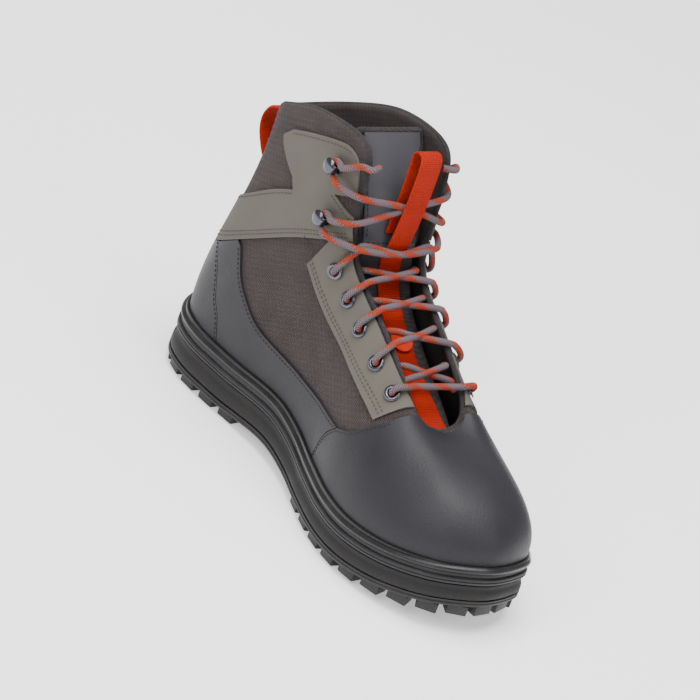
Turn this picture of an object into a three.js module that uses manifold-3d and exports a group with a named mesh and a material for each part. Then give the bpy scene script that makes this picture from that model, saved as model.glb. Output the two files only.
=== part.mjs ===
// A left wading boot, standing empty on its lugs. Millimetres, +X to the toe, +Y to the outer
// (lateral) side, +Z up. The origin is on the ground at the middle of the centre heel lug.
import * as THREE from "three";
import { mergeVertices } from "three/addons/utils/BufferGeometryUtils.js";
import Module from "manifold-3d";

const wasm = await Module();
wasm.setup();

// Driving dimensions.
const SOLE_LENGTH = 312;
const BALL_WIDTH = 118;
const HEEL_WIDTH = 90;
const COLLAR_WIDTH = 76;
const COLLAR_HEIGHT = 205;
const HEEL_BACK = 45; // from the origin's lug back to the end of the sole

const LUG_DEPTH = 5;
const OUTSOLE_THICK = 4;
const MIDSOLE_HEEL = 13;
const MIDSOLE_TOE = 10;
const FOXING_HEEL = 9;
const FOXING_TOE = 8;
const WELT_HEIGHT = 5;
const WELT_WIDTH = 4.2;
const TOE_SPRING = 15;
const SPRING_START = 215; // from the sole's end
const ARCH_RISE = 2.5;
const ARCH_MIDDLE = 125; // from the sole's end
const ARCH_SPAN = 90;

const FEATHER_INSET = 6; // the upper's foot edge lies this far inside the sole's edge
const UPPER_WALL = 2.4;
const COLLAR_PAD = 3.6; // what the padding adds to the wall at the collar
const OVERLAY_THICK = 1.4;
const GAP = 0.3; // between neighbouring pieces
const FOOT_GAP = 0.45; // between the sole's top face and what stands on it
const OUTER_NECK = 0.79; // the outer side is this much flatter over the instep
const INSOLE_THICK = 5;
const TONGUE_THICK = 5;
const WEBBING_WIDTH = 15;
const WEBBING_THICK = 1.6;
const LACE_DIAMETER = 4;
const EYELET_HOLE = 5.6;
const EYELET_FLANGE = 10;
const HEX_LUG = 17;
const SMALL_LUG = 9;
const STUD_SEAT = 5;
const LUG_PITCH = 20; // across the sole
const LUG_ROWS = SOLE_LENGTH * 0.0994; // along the sole
const HEEL_PAIR = SOLE_LENGTH * 0.0545; // from the heel's lug forward to the pair beside it
const ARCH_PAIR = SOLE_LENGTH * 0.1058; // and to the small pair behind the waist
const FIRST_ROW = SOLE_LENGTH * 0.4 - HEEL_BACK; // the forefoot's first row

// Stations round the boot, from the middle of the toe (first) to the middle of the heel (last).
// along: share of the sole's length from its back end. inner, outer: the sole's half widths on the
// big-toe side and the outer side, as shares of the width named by size.
// rimAt, rimHalf, rimUp: the top edge (throat, then collar) as shares of sole length, collar width
// and collar height. swell, climb: how far the wall first leans out, as a share of the ball width,
// and rises, as a share of the collar height. neckAt, neckHalf, neckUp: where it heads next.
const STATIONS = [
  { name: "toe", along: 1.0, size: BALL_WIDTH, inner: 0.034, outer: -0.034, rimAt: 0.718, rimHalf: 0.0, rimUp: 0.395, swell: 0.07, climb: 0.15, neckAt: 0.865, neckHalf: 0.0, neckUp: 0.41, lean: 0 },
  { name: "toe corner", along: 0.974, size: BALL_WIDTH, inner: 0.229, outer: 0.203, rimAt: 0.716, rimHalf: 0.079, rimUp: 0.4, swell: 0.07, climb: 0.15, neckAt: 0.856, neckHalf: 0.171, neckUp: 0.412, lean: 0 },
  { name: "toe side", along: 0.933, size: BALL_WIDTH, inner: 0.347, outer: 0.318, rimAt: 0.711, rimHalf: 0.158, rimUp: 0.412, swell: 0.068, climb: 0.135, neckAt: 0.83, neckHalf: 0.29, neckUp: 0.417, lean: 0.007 },
  { name: "little toe", along: 0.859, size: BALL_WIDTH, inner: 0.449, outer: 0.428, rimAt: 0.697, rimHalf: 0.217, rimUp: 0.439, swell: 0.06, climb: 0.117, neckAt: 0.779, neckHalf: 0.38, neckUp: 0.417, lean: 0.013 },
  { name: "ball", along: 0.769, size: BALL_WIDTH, inner: 0.496, outer: 0.494, rimAt: 0.66, rimHalf: 0.257, rimUp: 0.488, swell: 0.047, climb: 0.112, neckAt: 0.708, neckHalf: 0.42, neckUp: 0.432, lean: 0.02 },
  { name: "ball back", along: 0.679, size: BALL_WIDTH, inner: 0.479, outer: 0.507, rimAt: 0.606, rimHalf: 0.267, rimUp: 0.537, swell: 0.034, climb: 0.127, neckAt: 0.638, neckHalf: 0.42, neckUp: 0.456, lean: 0.026 },
  { name: "waist front", along: 0.59, size: BALL_WIDTH, inner: 0.419, outer: 0.466, rimAt: 0.542, rimHalf: 0.276, rimUp: 0.583, swell: 0.03, climb: 0.156, neckAt: 0.574, neckHalf: 0.434, neckUp: 0.502, lean: 0.026 },
  { name: "waist", along: 0.5, size: BALL_WIDTH, inner: 0.347, outer: 0.415, rimAt: 0.481, rimHalf: 0.289, rimUp: 0.629, swell: 0.034, climb: 0.176, neckAt: 0.51, neckHalf: 0.434, neckUp: 0.537, lean: 0.033 },
  { name: "waist back", along: 0.41, size: BALL_WIDTH, inner: 0.318, outer: 0.377, rimAt: 0.433, rimHalf: 0.322, rimUp: 0.693, swell: 0.051, climb: 0.195, neckAt: 0.455, neckHalf: 0.441, neckUp: 0.566, lean: 0.04 },
  { name: "ankle front", along: 0.32, size: HEEL_WIDTH, inner: 0.444, outer: 0.478, rimAt: 0.42, rimHalf: 0.368, rimUp: 0.78, swell: 0.051, climb: 0.22, neckAt: 0.426, neckHalf: 0.447, neckUp: 0.634, lean: 0.053 },
  { name: "ankle", along: 0.231, size: HEEL_WIDTH, inner: 0.494, outer: 0.481, rimAt: 0.41, rimHalf: 0.388, rimUp: 0.893, swell: 0.042, climb: 0.244, neckAt: 0.369, neckHalf: 0.454, neckUp: 0.673, lean: 0.053 },
  { name: "collar corner", along: 0.147, size: HEEL_WIDTH, inner: 0.517, outer: 0.478, rimAt: 0.375, rimHalf: 0.395, rimUp: 1.0, swell: 0.034, climb: 0.244, neckAt: 0.272, neckHalf: 0.447, neckUp: 0.659, lean: 0.053 },
  { name: "collar side", along: 0.071, size: HEEL_WIDTH, inner: 0.447, outer: 0.411, rimAt: 0.234, rimHalf: 0.421, rimUp: 0.98, swell: 0.045, climb: 0.235, neckAt: 0.168, neckHalf: 0.434, neckUp: 0.61, lean: 0.053 },
  { name: "heel side", along: 0.016, size: HEEL_WIDTH, inner: 0.245, outer: 0.222, rimAt: 0.096, rimHalf: 0.335, rimUp: 0.883, swell: 0.073, climb: 0.205, neckAt: 0.1, neckHalf: 0.3, neckUp: 0.546, lean: 0.04 },
  { name: "heel", along: 0.0, size: HEEL_WIDTH, inner: 0.0, outer: 0.0, rimAt: 0.038, rimHalf: 0.0, rimUp: 0.83, swell: 0.12, climb: 0.18, neckAt: 0.087, neckHalf: 0.0, neckUp: 0.512, lean: 0.026 },
];
const LAST_STATION = STATIONS.length - 1;
const ROUND = 2 * LAST_STATION; // places round the boot: 0 heel, half way toe, back to the heel

const COLUMNS = 44;
const FOOT_SQUARE = 0.06; // below this level the wall's thickness is measured level with the ground
const LEVELS = [0, 0.06, 0.14, 0.24, 0.34, 0.44, 0.55, 0.66, 0.77, 0.87, 0.96, 1];

// Rows of numbers read smoothly at any place between them. Past either end the rows turn back,
// with the sign of the odd ones changed about the end, so both ends are round.
function between(values, place, odd) {
  const last = values.length - 1;
  const row = (i) => {
    if (i < 0) return odd ? 2 * values[0] - values[-i] : values[-i];
    if (i > last) return odd ? 2 * values[last] - values[2 * last - i] : values[2 * last - i];
    return values[i];
  };
  const i = Math.min(Math.floor(place), last - 1);
  const f = place - i;
  const startSlope = (row(i + 1) - row(i - 1)) / 2;
  const endSlope = (row(i + 2) - row(i)) / 2;
  const f2 = f * f;
  const f3 = f2 * f;
  return (
    (2 * f3 - 3 * f2 + 1) * row(i) + (f3 - 2 * f2 + f) * startSlope +
    (3 * f2 - 2 * f3) * row(i + 1) + (f3 - f2) * endSlope
  );
}
const column = (read) => STATIONS.map(read);
const TABLE = {
  edgeX: column((s) => s.along * SOLE_LENGTH - HEEL_BACK),
  innerY: column((s) => s.inner * s.size),
  outerY: column((s) => s.outer * s.size),
  rimX: column((s) => s.rimAt * SOLE_LENGTH - HEEL_BACK),
  rimY: column((s) => s.rimHalf * COLLAR_WIDTH),
  rimZ: column((s) => s.rimUp * COLLAR_HEIGHT),
  swell: column((s) => s.swell * BALL_WIDTH),
  climb: column((s) => s.climb * COLLAR_HEIGHT),
  neckX: column((s) => s.neckAt * SOLE_LENGTH - HEEL_BACK),
  neckY: column((s) => s.neckHalf * COLLAR_WIDTH),
  neckZ: column((s) => s.neckUp * COLLAR_HEIGHT),
  lean: column((s) => s.lean * COLLAR_WIDTH),
};

// A place round the boot as a station number and a side: -1 the inner side, 1 the outer side.
function stationOf(place) {
  const turned = ((place % ROUND) + ROUND) % ROUND;
  return { at: Math.abs(LAST_STATION - turned), side: turned <= LAST_STATION ? -1 : 1 };
}

function soleEdge(place) {
  const { at, side } = stationOf(place);
  const half = between(side < 0 ? TABLE.innerY : TABLE.outerY, at, true);
  return new THREE.Vector2(between(TABLE.edgeX, at, false), side * half);
}

// The direction out of the sole's edge, seen from above.
function edgeOut(place) {
  const step = 0.05;
  const run = soleEdge(place + step).sub(soleEdge(place - step)).normalize();
  return new THREE.Vector2(run.y, -run.x);
}

function insetEdge(place, inset) {
  return soleEdge(place).addScaledVector(edgeOut(place), -inset);
}

// How far the ground side of the sole rises above the ground at x.
function rise(x) {
  const fromBack = x + HEEL_BACK;
  const springRun = Math.max(0, fromBack - SPRING_START) / (SOLE_LENGTH - SPRING_START);
  const archRun = Math.min(1, Math.abs(fromBack - ARCH_MIDDLE) / (ARCH_SPAN / 2));
  return TOE_SPRING * springRun ** 2 + (ARCH_RISE * (1 + Math.cos(Math.PI * archRun))) / 2;
}

// A level of the sole's stack at x, which falls from its height at the heel to that at the ball.
function level(x, heel, toe) {
  const run = THREE.MathUtils.smoothstep(x + HEEL_BACK, SOLE_LENGTH * 0.2, SOLE_LENGTH * 0.7);
  return rise(x) + heel + (toe - heel) * run;
}
const OUTSOLE_TOP = LUG_DEPTH + OUTSOLE_THICK;
const MIDSOLE_TOP = { heel: OUTSOLE_TOP + MIDSOLE_HEEL, toe: OUTSOLE_TOP + MIDSOLE_TOE };
const FOXING_TOP = { heel: MIDSOLE_TOP.heel + FOXING_HEEL, toe: MIDSOLE_TOP.toe + FOXING_TOE };
const foxingTop = (x) => level(x, FOXING_TOP.heel, FOXING_TOP.toe);

// The last's surface: place runs round the boot, t from the foot edge (0) to the rim (1).
function lastPoint(place, t) {
  const { at, side } = stationOf(place);
  const foot = insetEdge(place, FEATHER_INSET);
  const out = edgeOut(place);
  const footZ = foxingTop(foot.x) + FOOT_GAP;
  const swell = between(TABLE.swell, at, false);
  const lean = between(TABLE.lean, at, false);
  const p0 = new THREE.Vector3(foot.x, foot.y, footZ);
  const p1 = new THREE.Vector3(foot.x + out.x * swell, foot.y + out.y * swell, footZ + between(TABLE.climb, at, false));
  const flat = side > 0 ? THREE.MathUtils.lerp(OUTER_NECK, 1, THREE.MathUtils.smoothstep(at, 8, 11)) : 1;
  const p2 = new THREE.Vector3(between(TABLE.neckX, at, false), side * flat * between(TABLE.neckY, at, true) - lean, between(TABLE.neckZ, at, false));
  const p3 = new THREE.Vector3(between(TABLE.rimX, at, false), side * between(TABLE.rimY, at, true) - lean, between(TABLE.rimZ, at, false));
  return new THREE.CubicBezierCurve3(p0, p1, p2, p3).getPoint(t);
}

function lastNormal(place, t) {
  const step = 0.02;
  const low = Math.max(0, t - step);
  const high = Math.min(1, t + step);
  const round = lastPoint(place + step, t).sub(lastPoint(place - step, t));
  const up = lastPoint(place, high).sub(lastPoint(place, low));
  const normal = round.cross(up).normalize();
  normal.z *= Math.min(1, t / FOOT_SQUARE);
  return normal.normalize();
}

// A point off the last's surface, out by a positive distance. The foot edge stands flat on the sole.
function offLast(place, t, off) {
  const p = lastPoint(place, t).addScaledVector(lastNormal(place, t), off);
  if (t === 0) p.z = foxingTop(p.x) + FOOT_GAP;
  return p;
}

// The wall grows to its padded thickness round the collar, not along the throat.
function wallAt(place, t) {
  const { at } = stationOf(place);
  const shaft = THREE.MathUtils.smoothstep(at, 9.8, 12);
  return UPPER_WALL + COLLAR_PAD * shaft * THREE.MathUtils.smoothstep(t, 0.55, 0.9);
}

// Triangles of a grid of points that closes on itself round each ring, and from the last ring to
// the first if closed. Open ends are shut by strips between opposite points of the ring. The two
// halves of a ring split their squares along mirrored diagonals, so a wall's two faces match.
function ringsGeometry(rings, closed) {
  const count = rings[0].length;
  const positions = rings.flat().flatMap((p) => [p.x, p.y, p.z]);
  const index = [];
  const at = (i, j) => (i % rings.length) * count + (j % count);
  const spans = closed ? rings.length : rings.length - 1;
  for (let i = 0; i < spans; i++) {
    for (let j = 0; j < count; j++) {
      if (j < count / 2) {
        index.push(at(i, j), at(i + 1, j), at(i + 1, j + 1), at(i, j), at(i + 1, j + 1), at(i, j + 1));
      } else {
        index.push(at(i, j), at(i + 1, j), at(i, j + 1), at(i + 1, j), at(i + 1, j + 1), at(i, j + 1));
      }
    }
  }
  if (!closed) {
    const end = rings.length - 1;
    for (let j = 0; j < count / 2 - 1; j++) {
      const k = count - 1 - j;
      index.push(at(0, j), at(0, j + 1), at(0, k - 1), at(0, j), at(0, k - 1), at(0, k));
      index.push(at(end, j), at(end, k - 1), at(end, j + 1), at(end, j), at(end, k), at(end, k - 1));
    }
  }
  const geometry = new THREE.BufferGeometry();
  geometry.setAttribute("position", new THREE.Float32BufferAttribute(positions, 3));
  geometry.setIndex(index);
  return geometry;
}

function toSolid(geometry) {
  const bare = new THREE.BufferGeometry();
  bare.setAttribute("position", geometry.getAttribute("position").clone());
  bare.setIndex(geometry.index);
  const merged = mergeVertices(bare, 1e-3);
  const mesh = new wasm.Mesh({
    numProp: 3,
    vertProperties: new Float32Array(merged.attributes.position.array),
    triVerts: new Uint32Array(merged.index.array),
  });
  return new wasm.Manifold(mesh);
}

function toGeometry(solid) {
  const mesh = solid.getMesh();
  const geometry = new THREE.BufferGeometry();
  geometry.setAttribute("position", new THREE.Float32BufferAttribute(mesh.vertProperties, 3));
  geometry.setIndex([...mesh.triVerts]);
  return geometry;
}

const root = new THREE.Group();
function add(name, geometry, look) {
  const material = new THREE.MeshStandardMaterial({ ...look, metalness: look.metalness ?? 0 });
  const mesh = new THREE.Mesh(geometry, material);
  mesh.name = name;
  root.add(mesh);
  return mesh;
}
const BLACK_RUBBER = { color: 0x1b1a1e, roughness: 0.6 };
const FOAM = { color: 0x1e1d22, roughness: 0.8 };
const GREY_RUBBER = { color: 0x3c3b40, roughness: 0.7 };
const CHARCOAL = { color: 0x4b4b52, roughness: 0.65 };
const MESH = { color: 0x5c5350, roughness: 0.9 };
const SAGE = { color: 0x8c8a7f, roughness: 0.75 };
const TONGUE_GREY = { color: 0x65646a, roughness: 0.7 };
const ORANGE = { color: 0xd8492a, roughness: 0.8 };
const STEEL = { color: 0x77777f, roughness: 0.3, metalness: 0.9 };
const LACE_GREY = { color: 0x8a7c80, roughness: 0.85 };
const INSOLE_GREY = { color: 0x3a3a3c, roughness: 0.9 };

// The places round the edge that a sole layer's ring uses, heel to toe on the inner side and back
// on the outer side, so that opposite points of the ring are at the same station.
const SOLE_STEPS = 26;
const SOLE_PLACES = [];
for (let i = 0; i < SOLE_STEPS; i++) SOLE_PLACES.push(((i + 0.5) / SOLE_STEPS) * LAST_STATION);
for (let i = SOLE_STEPS - 1; i >= 0; i--) SOLE_PLACES.push(ROUND - SOLE_PLACES[i]);

// A layer of the sole: rings from low to high, each with an inset and a height at the heel and toe.
function soleLayer(rings) {
  const loops = rings.map((ring) =>
    SOLE_PLACES.map((place) => {
      const p = insetEdge(place, ring.inset);
      return new THREE.Vector3(p.x, p.y, level(p.x, ring.heel, ring.toe));
    }),
  );
  return ringsGeometry(loops.reverse(), false);
}

// A prism whose outline is drawn on the side view, x and z, and runs through from y0 to y1.
function sidePrism(points, y0, y1) {
  const shape = new THREE.Shape(points.map(([x, z]) => new THREE.Vector2(x, z)));
  const geometry = new THREE.ExtrudeGeometry(shape, { depth: y1 - y0, bevelEnabled: false, curveSegments: 8 });
  geometry.deleteAttribute("normal");
  geometry.deleteAttribute("uv");
  return geometry.rotateX(Math.PI / 2).translate(0, y1, 0);
}

export { lastPoint, offLast, soleEdge, insetEdge, level, rise, STATIONS, ROUND };

// Outsole.
function outsole() {
  const heel = OUTSOLE_TOP;
  let body = toSolid(soleLayer([
    { inset: 1.5, heel: LUG_DEPTH, toe: LUG_DEPTH },
    { inset: 0, heel: LUG_DEPTH + 1.5, toe: LUG_DEPTH + 1.5 },
    { inset: 0, heel, toe: heel },
  ]));
  const blocks = [];
  const block = (x, y, width, sides, turn, seat) => {
    const radius = width / 2 / Math.cos(Math.PI / sides);
    const low = rise(x);
    const tall = LUG_DEPTH + 1 + rise(x) - low;
    const lug = new THREE.CylinderGeometry(radius, radius * 0.9, tall, sides);
    lug.rotateX(Math.PI / 2).rotateZ(turn).translate(x, y, low + tall / 2);
    let solid = toSolid(lug);
    if (seat) {
      const pit = new THREE.CylinderGeometry(STUD_SEAT / 2, STUD_SEAT / 2, 2, 6);
      solid = solid.subtract(toSolid(pit.rotateX(Math.PI / 2).translate(x, y, low)));
    }
    blocks.push(solid);
  };
  block(0, 0, HEX_LUG, 6, 0, false); // the heel's flat rest
  for (const side of [-1, 1]) {
    block(HEEL_PAIR, side * LUG_PITCH * 0.85, HEX_LUG, 6, 0, true);
    block(ARCH_PAIR, side * LUG_PITCH * 0.5, SMALL_LUG, 6, 0, false);
  }
  for (let row = 0; row < 5; row++) {
    for (let across = -2; across <= 2; across++) {
      const x = FIRST_ROW + row * LUG_ROWS;
      const y = across * LUG_PITCH;
      const big = (row + across + 10) % 2 === 0;
      const width = big ? HEX_LUG : SMALL_LUG;
      const room = nearestEdge(x, y) - width / 2;
      if (room > 11) block(x, y, width, 6, Math.PI / 6, big);
    }
  }
  for (const spot of perimeterBlocks()) {
    const bar = new THREE.BoxGeometry(spot.long, spot.deep, LUG_DEPTH + 1);
    bar.rotateZ(spot.turn).translate(spot.x, spot.y, rise(spot.x) + (LUG_DEPTH + 1) / 2);
    blocks.push(toSolid(bar));
  }
  for (const lug of blocks) body = body.add(lug);
  return body;
}

// The distance from a point inside the sole to its edge, seen from above.
function nearestEdge(x, y) {
  let nearest = Infinity;
  for (let place = 0; place < ROUND; place += 0.25) {
    nearest = Math.min(nearest, soleEdge(place).distanceTo(new THREE.Vector2(x, y)));
  }
  return nearest;
}

// Bars round the edge, evenly spaced along it.
function perimeterBlocks() {
  const spots = [];
  const pitch = 18;
  let walked = pitch / 2;
  const step = 0.02;
  for (let place = 0; place < ROUND; place += step) {
    walked += soleEdge(place).distanceTo(soleEdge(place + step));
    if (walked < pitch) continue;
    walked = 0;
    const { at } = stationOf(place);
    if (at > 6.5 && at < 9.3) continue;
    const out = edgeOut(place);
    const middle = insetEdge(place, 7);
    spots.push({ x: middle.x, y: middle.y, turn: Math.atan2(out.y, out.x) + Math.PI / 2, long: 12.5, deep: 10 });
  }
  return spots;
}

add("outsole", toGeometry(outsole()), BLACK_RUBBER);
add("midsole", soleLayer([
  { inset: 0.8, heel: OUTSOLE_TOP + GAP, toe: OUTSOLE_TOP + GAP },
  { inset: 0, heel: OUTSOLE_TOP + 2, toe: OUTSOLE_TOP + 2 },
  { inset: 1.5, heel: MIDSOLE_TOP.heel - 4, toe: MIDSOLE_TOP.toe - 3 },
  { inset: 1.2, heel: MIDSOLE_TOP.heel, toe: MIDSOLE_TOP.toe },
]), FOAM);
add("foxing", soleLayer([
  { inset: 1.2, heel: MIDSOLE_TOP.heel + GAP, toe: MIDSOLE_TOP.toe + GAP },
  { inset: 0, heel: MIDSOLE_TOP.heel + 1.5, toe: MIDSOLE_TOP.toe + 1.5 },
  { inset: 0, heel: MIDSOLE_TOP.heel + 4, toe: MIDSOLE_TOP.toe + 4 },
  { inset: 1.4, heel: MIDSOLE_TOP.heel + 5, toe: MIDSOLE_TOP.toe + 5 },
  { inset: 1.4, heel: FOXING_TOP.heel, toe: FOXING_TOP.toe },
]), GREY_RUBBER);
const INSOLE_INSET = FEATHER_INSET + UPPER_WALL + 1;
add("insole", soleLayer([
  { inset: INSOLE_INSET, heel: FOXING_TOP.heel + GAP, toe: FOXING_TOP.toe + GAP },
  { inset: INSOLE_INSET, heel: FOXING_TOP.heel + INSOLE_THICK - 1, toe: FOXING_TOP.toe + INSOLE_THICK - 1 },
  { inset: INSOLE_INSET + 1, heel: FOXING_TOP.heel + INSOLE_THICK, toe: FOXING_TOP.toe + INSOLE_THICK },
]), INSOLE_GREY);

// Upper.
const columnPlace = (i) => (i / COLUMNS) * ROUND;
function upper() {
  const rings = [];
  for (let i = 0; i < COLUMNS; i++) {
    const place = columnPlace(i);
    const outer = LEVELS.map((t) => offLast(place, t, 0));
    const inner = LEVELS.map((t) => offLast(place, t, -wallAt(place, t))).reverse();
    rings.push([...outer, ...inner]);
  }
  return toSolid(ringsGeometry(rings, true));
}
let upperBody = upper();

// A shell that follows the last between two distances off it, over some columns of the upper, from
// the foot edge to the overlays' margin below the rim.
function overlayForm(firstColumn, lastColumn) {
  const levels = LEVELS.slice(0, -1);
  const rings = [];
  for (let i = firstColumn; i <= lastColumn; i++) {
    const place = columnPlace(i);
    const outer = levels.map((t) => offLast(place, t, GAP + OVERLAY_THICK));
    const inner = levels.map((t) => offLast(place, t, GAP)).reverse();
    rings.push([...outer, ...inner]);
  }
  return toSolid(ringsGeometry(rings, false));
}

// Panel outlines on the side view: share of the sole's length from its back end, share of the
// collar's height. The same outline serves the inner and the outer side.
const sideView = (rows) => rows.map(([along, up]) => [along * SOLE_LENGTH - HEEL_BACK, up * COLLAR_HEIGHT]);
const BAND_BOTTOM = sideView([[-0.06, 0.29], [0.08, 0.405], [0.2, 0.525], [0.31, 0.635], [0.43, 0.735]]);
const BAND_TOP = sideView([[0.25, 0.735], [0.2, 0.69], [0.12, 0.6], [0.03, 0.51], [-0.06, 0.44]]);
const FLAP_FRONT = sideView([[0.43, 0.855], [0.36, 0.845], [0.425, 0.89], [0.42, 0.95]]);
const FLAP_TOP = sideView([[0.381, 0.965], [0.35, 0.966], [0.309, 0.952], [0.242, 0.913], [0.185, 0.872]]);
const FLAP_BACK = sideView([[0.16, 0.835], [0.17, 0.815], [0.2, 0.79], [0.235, 0.765]]);
const RAND_TOP = sideView([[-0.06, 0.5], [0.08, 0.5], [0.176, 0.474], [0.212, 0.4], [0.249, 0.353], [0.292, 0.316], [0.35, 0.302], [0.46, 0.294], [0.544, 0.299], [0.612, 0.302]]);
const CAP_TOP = sideView([[0.65, 0.329], [0.674, 0.365], [0.7, 0.407], [0.714, 0.444]]);
const CAP_SEAM = sideView([[0.612, 0.302], [0.582, 0.24], [0.555, 0.08]]);
const COUNTER_FRONT = sideView([[0.1, 0.42], [0.134, 0.367], [0.165, 0.29], [0.19, 0.235], [0.22, 0.08]]);
const STAY_BACK = sideView([[0.317, 0.64], [0.366, 0.588], [0.439, 0.508], [0.546, 0.454], [0.676, 0.396]]);
const STAY_BOTTOM = sideView([[0.694, 0.434], [0.701, 0.456]]);
const ABOVE = COLLAR_HEIGHT * 1.1;
const WIDE = BALL_WIDTH;
const shifted = (points, dx, dz) => points.map(([x, z]) => [x + dx, z + dz]);
const reversed = (points) => [...points].reverse();

const PANELS = [
  {
    name: "toe_cap", look: CHARCOAL, places: [8.2, 19.8], sides: [0],
    outline: [...shifted(reversed(CAP_SEAM), GAP, 0), ...CAP_TOP, [CAP_TOP.at(-1)[0], ABOVE], [SOLE_LENGTH, ABOVE], [SOLE_LENGTH, 0]],
  },
  {
    name: "rand", look: CHARCOAL, places: [2.4, 10], sides: [-1, 1],
    outline: [...shifted(CAP_SEAM, -GAP, 0), ...shifted(reversed(COUNTER_FRONT), GAP, 0), ...RAND_TOP.slice(2, -1)],
  },
  {
    name: "heel_counter", look: CHARCOAL, places: [-4.7, 4.7], sides: [0],
    outline: [...shifted(COUNTER_FRONT, -GAP, 0), [-HEEL_BACK * 2, 0], ...shifted(BAND_BOTTOM.slice(0, 2), 0, -2 * GAP)],
  },
  {
    name: "ankle_band", look: SAGE, places: [-7, 7], sides: [0],
    outline: [...BAND_BOTTOM, ...FLAP_FRONT, ...FLAP_TOP, ...FLAP_BACK, ...BAND_TOP],
  },
  {
    name: "eyestay", look: SAGE, places: [4.6, 11.7], sides: [-1, 1],
    outline: [...shifted(STAY_BACK, 0, -2 * GAP), ...shifted(STAY_BOTTOM, -2 * GAP, GAP), [STAY_BOTTOM.at(-1)[0], ABOVE], [BAND_BOTTOM.at(-1)[0], ABOVE], ...shifted(reversed(BAND_BOTTOM.slice(3)), 0, -2 * GAP)],
  },
];

function panelSolid(panel, side) {
  let [first, last] = panel.places.map((place) => Math.round((place / ROUND) * COLUMNS));
  if (side > 0) [first, last] = [COLUMNS - last, COLUMNS - first];
  const form = overlayForm(first, last);
  const [y0, y1] = side === 0 ? [-WIDE, WIDE] : [Math.min(0, side * WIDE), Math.max(0, side * WIDE)];
  return form.intersect(toSolid(sidePrism(panel.outline, y0, y1)));
}
const SIDE_NAME = { [-1]: "inner", 1: "outer" };

// The storm welt: a bead round the foot edge, standing on the foxing outside the overlays.
function stormWelt() {
  const inside = 2 * GAP + OVERLAY_THICK;
  const rings = [];
  for (let i = 0; i < COLUMNS; i++) {
    const place = columnPlace(i);
    const foot = offLast(place, 0, inside);
    const top = offLast(place, LEVELS[1], inside);
    top.lerpVectors(foot, top, WELT_HEIGHT / (top.z - foot.z));
    const out = edgeOut(place);
    const shoulder = top.clone().add(new THREE.Vector3(out.x, out.y, 0).multiplyScalar(WELT_WIDTH * 0.6));
    const brim = foot.clone().add(new THREE.Vector3(out.x, out.y, 0).multiplyScalar(WELT_WIDTH));
    brim.z = foxingTop(brim.x) + FOOT_GAP + WELT_HEIGHT * 0.5;
    const edge = brim.clone();
    edge.z = foxingTop(edge.x) + FOOT_GAP;
    rings.push([edge, brim, shoulder, top, foot]);
  }
  return ringsGeometry(rings, true);
}

// Where a point of the side view lies on the last: the nearest place and level on one side.
function seek(x, z, side) {
  const start = side < 0 ? 0 : LAST_STATION;
  let best = { miss: Infinity };
  const scan = (place0, place1, t0, t1) => {
    for (let i = 0; i <= SEEK_STEPS; i++) {
      for (let j = 0; j <= SEEK_STEPS; j++) {
        const place = place0 + ((place1 - place0) * i) / SEEK_STEPS;
        const t = THREE.MathUtils.clamp(t0 + ((t1 - t0) * j) / SEEK_STEPS, 0, 1);
        const p = lastPoint(place, t);
        const miss = Math.hypot(p.x - x, p.z - z);
        if (miss < best.miss) best = { miss, place, t };
      }
    }
  };
  scan(start, start + LAST_STATION, 0, 1);
  for (const zoom of [0.1, 0.01, 0.001]) {
    const { place, t } = best;
    scan(place - zoom * LAST_STATION, place + zoom * LAST_STATION, t - zoom, t + zoom);
  }
  return best;
}
const SEEK_STEPS = 16;

// A turn and move that stands a piece's +Z along the last's normal, with its base off the last.
function onLast(spot, off) {
  const normal = lastNormal(spot.place, spot.t);
  const turn = new THREE.Quaternion().setFromUnitVectors(new THREE.Vector3(0, 0, 1), normal);
  const place = offLast(spot.place, spot.t, off);
  return new THREE.Matrix4().compose(place, turn, new THREE.Vector3(1, 1, 1));
}

const EYELETS = sideView([[0.664, 0.462], [0.599, 0.498], [0.528, 0.54], [0.471, 0.583], [0.422, 0.633]]);
const HOOKS = sideView([[0.363, 0.749], [0.338, 0.895]]);
const FASTENERS = { eyelet: [], hook: [] };
for (const side of [-1, 1]) {
  EYELETS.forEach(([x, z], i) => FASTENERS.eyelet.push({ side, i, ...seek(x, z, side) }));
  HOOKS.forEach(([x, z], i) => FASTENERS.hook.push({ side, i, ...seek(x, z, side) }));
}
const ROUND_SIDES = 8;
const OVERLAY_TOP = GAP + OVERLAY_THICK;

// The hole that an eyelet's barrel passes through, in the upper and in its eyestay.
function eyeletHole(spot) {
  const radius = (EYELET_HOLE / 2 + GAP) / Math.cos(Math.PI / ROUND_SIDES);
  const hole = new THREE.CylinderGeometry(radius, radius, 8 * UPPER_WALL, ROUND_SIDES);
  return toSolid(hole.rotateX(Math.PI / 2).applyMatrix4(onLast(spot, 0)));
}

// A steel eyelet: a funnel through the wall with a round flange on the eyestay.
function eyelet(spot) {
  const bore = EYELET_HOLE / 2 - 0.5;
  const deep = OVERLAY_TOP + UPPER_WALL * 0.8;
  const profile = [[bore, -deep], [EYELET_HOLE / 2, -deep], [EYELET_HOLE / 2, 2.4 * GAP], [EYELET_FLANGE / 2, 2.4 * GAP], [EYELET_FLANGE / 2 - 1.4, 1.8], [bore, 3.4 * GAP]];
  const points = [...profile, profile[0]].map(([r, z]) => new THREE.Vector2(r, z));
  const lathe = new THREE.LatheGeometry(points, ROUND_SIDES);
  return lathe.rotateX(Math.PI / 2).applyMatrix4(onLast(spot, OVERLAY_TOP));
}

// A steel lace hook: a round foot plate, a stem and a rounded tongue that turns back over the lace.
const HOOK_PLATE = 10;
const HOOK_REACH = 8.5; // off the panel
const HOOK_WIDTH = 4.6;

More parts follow.
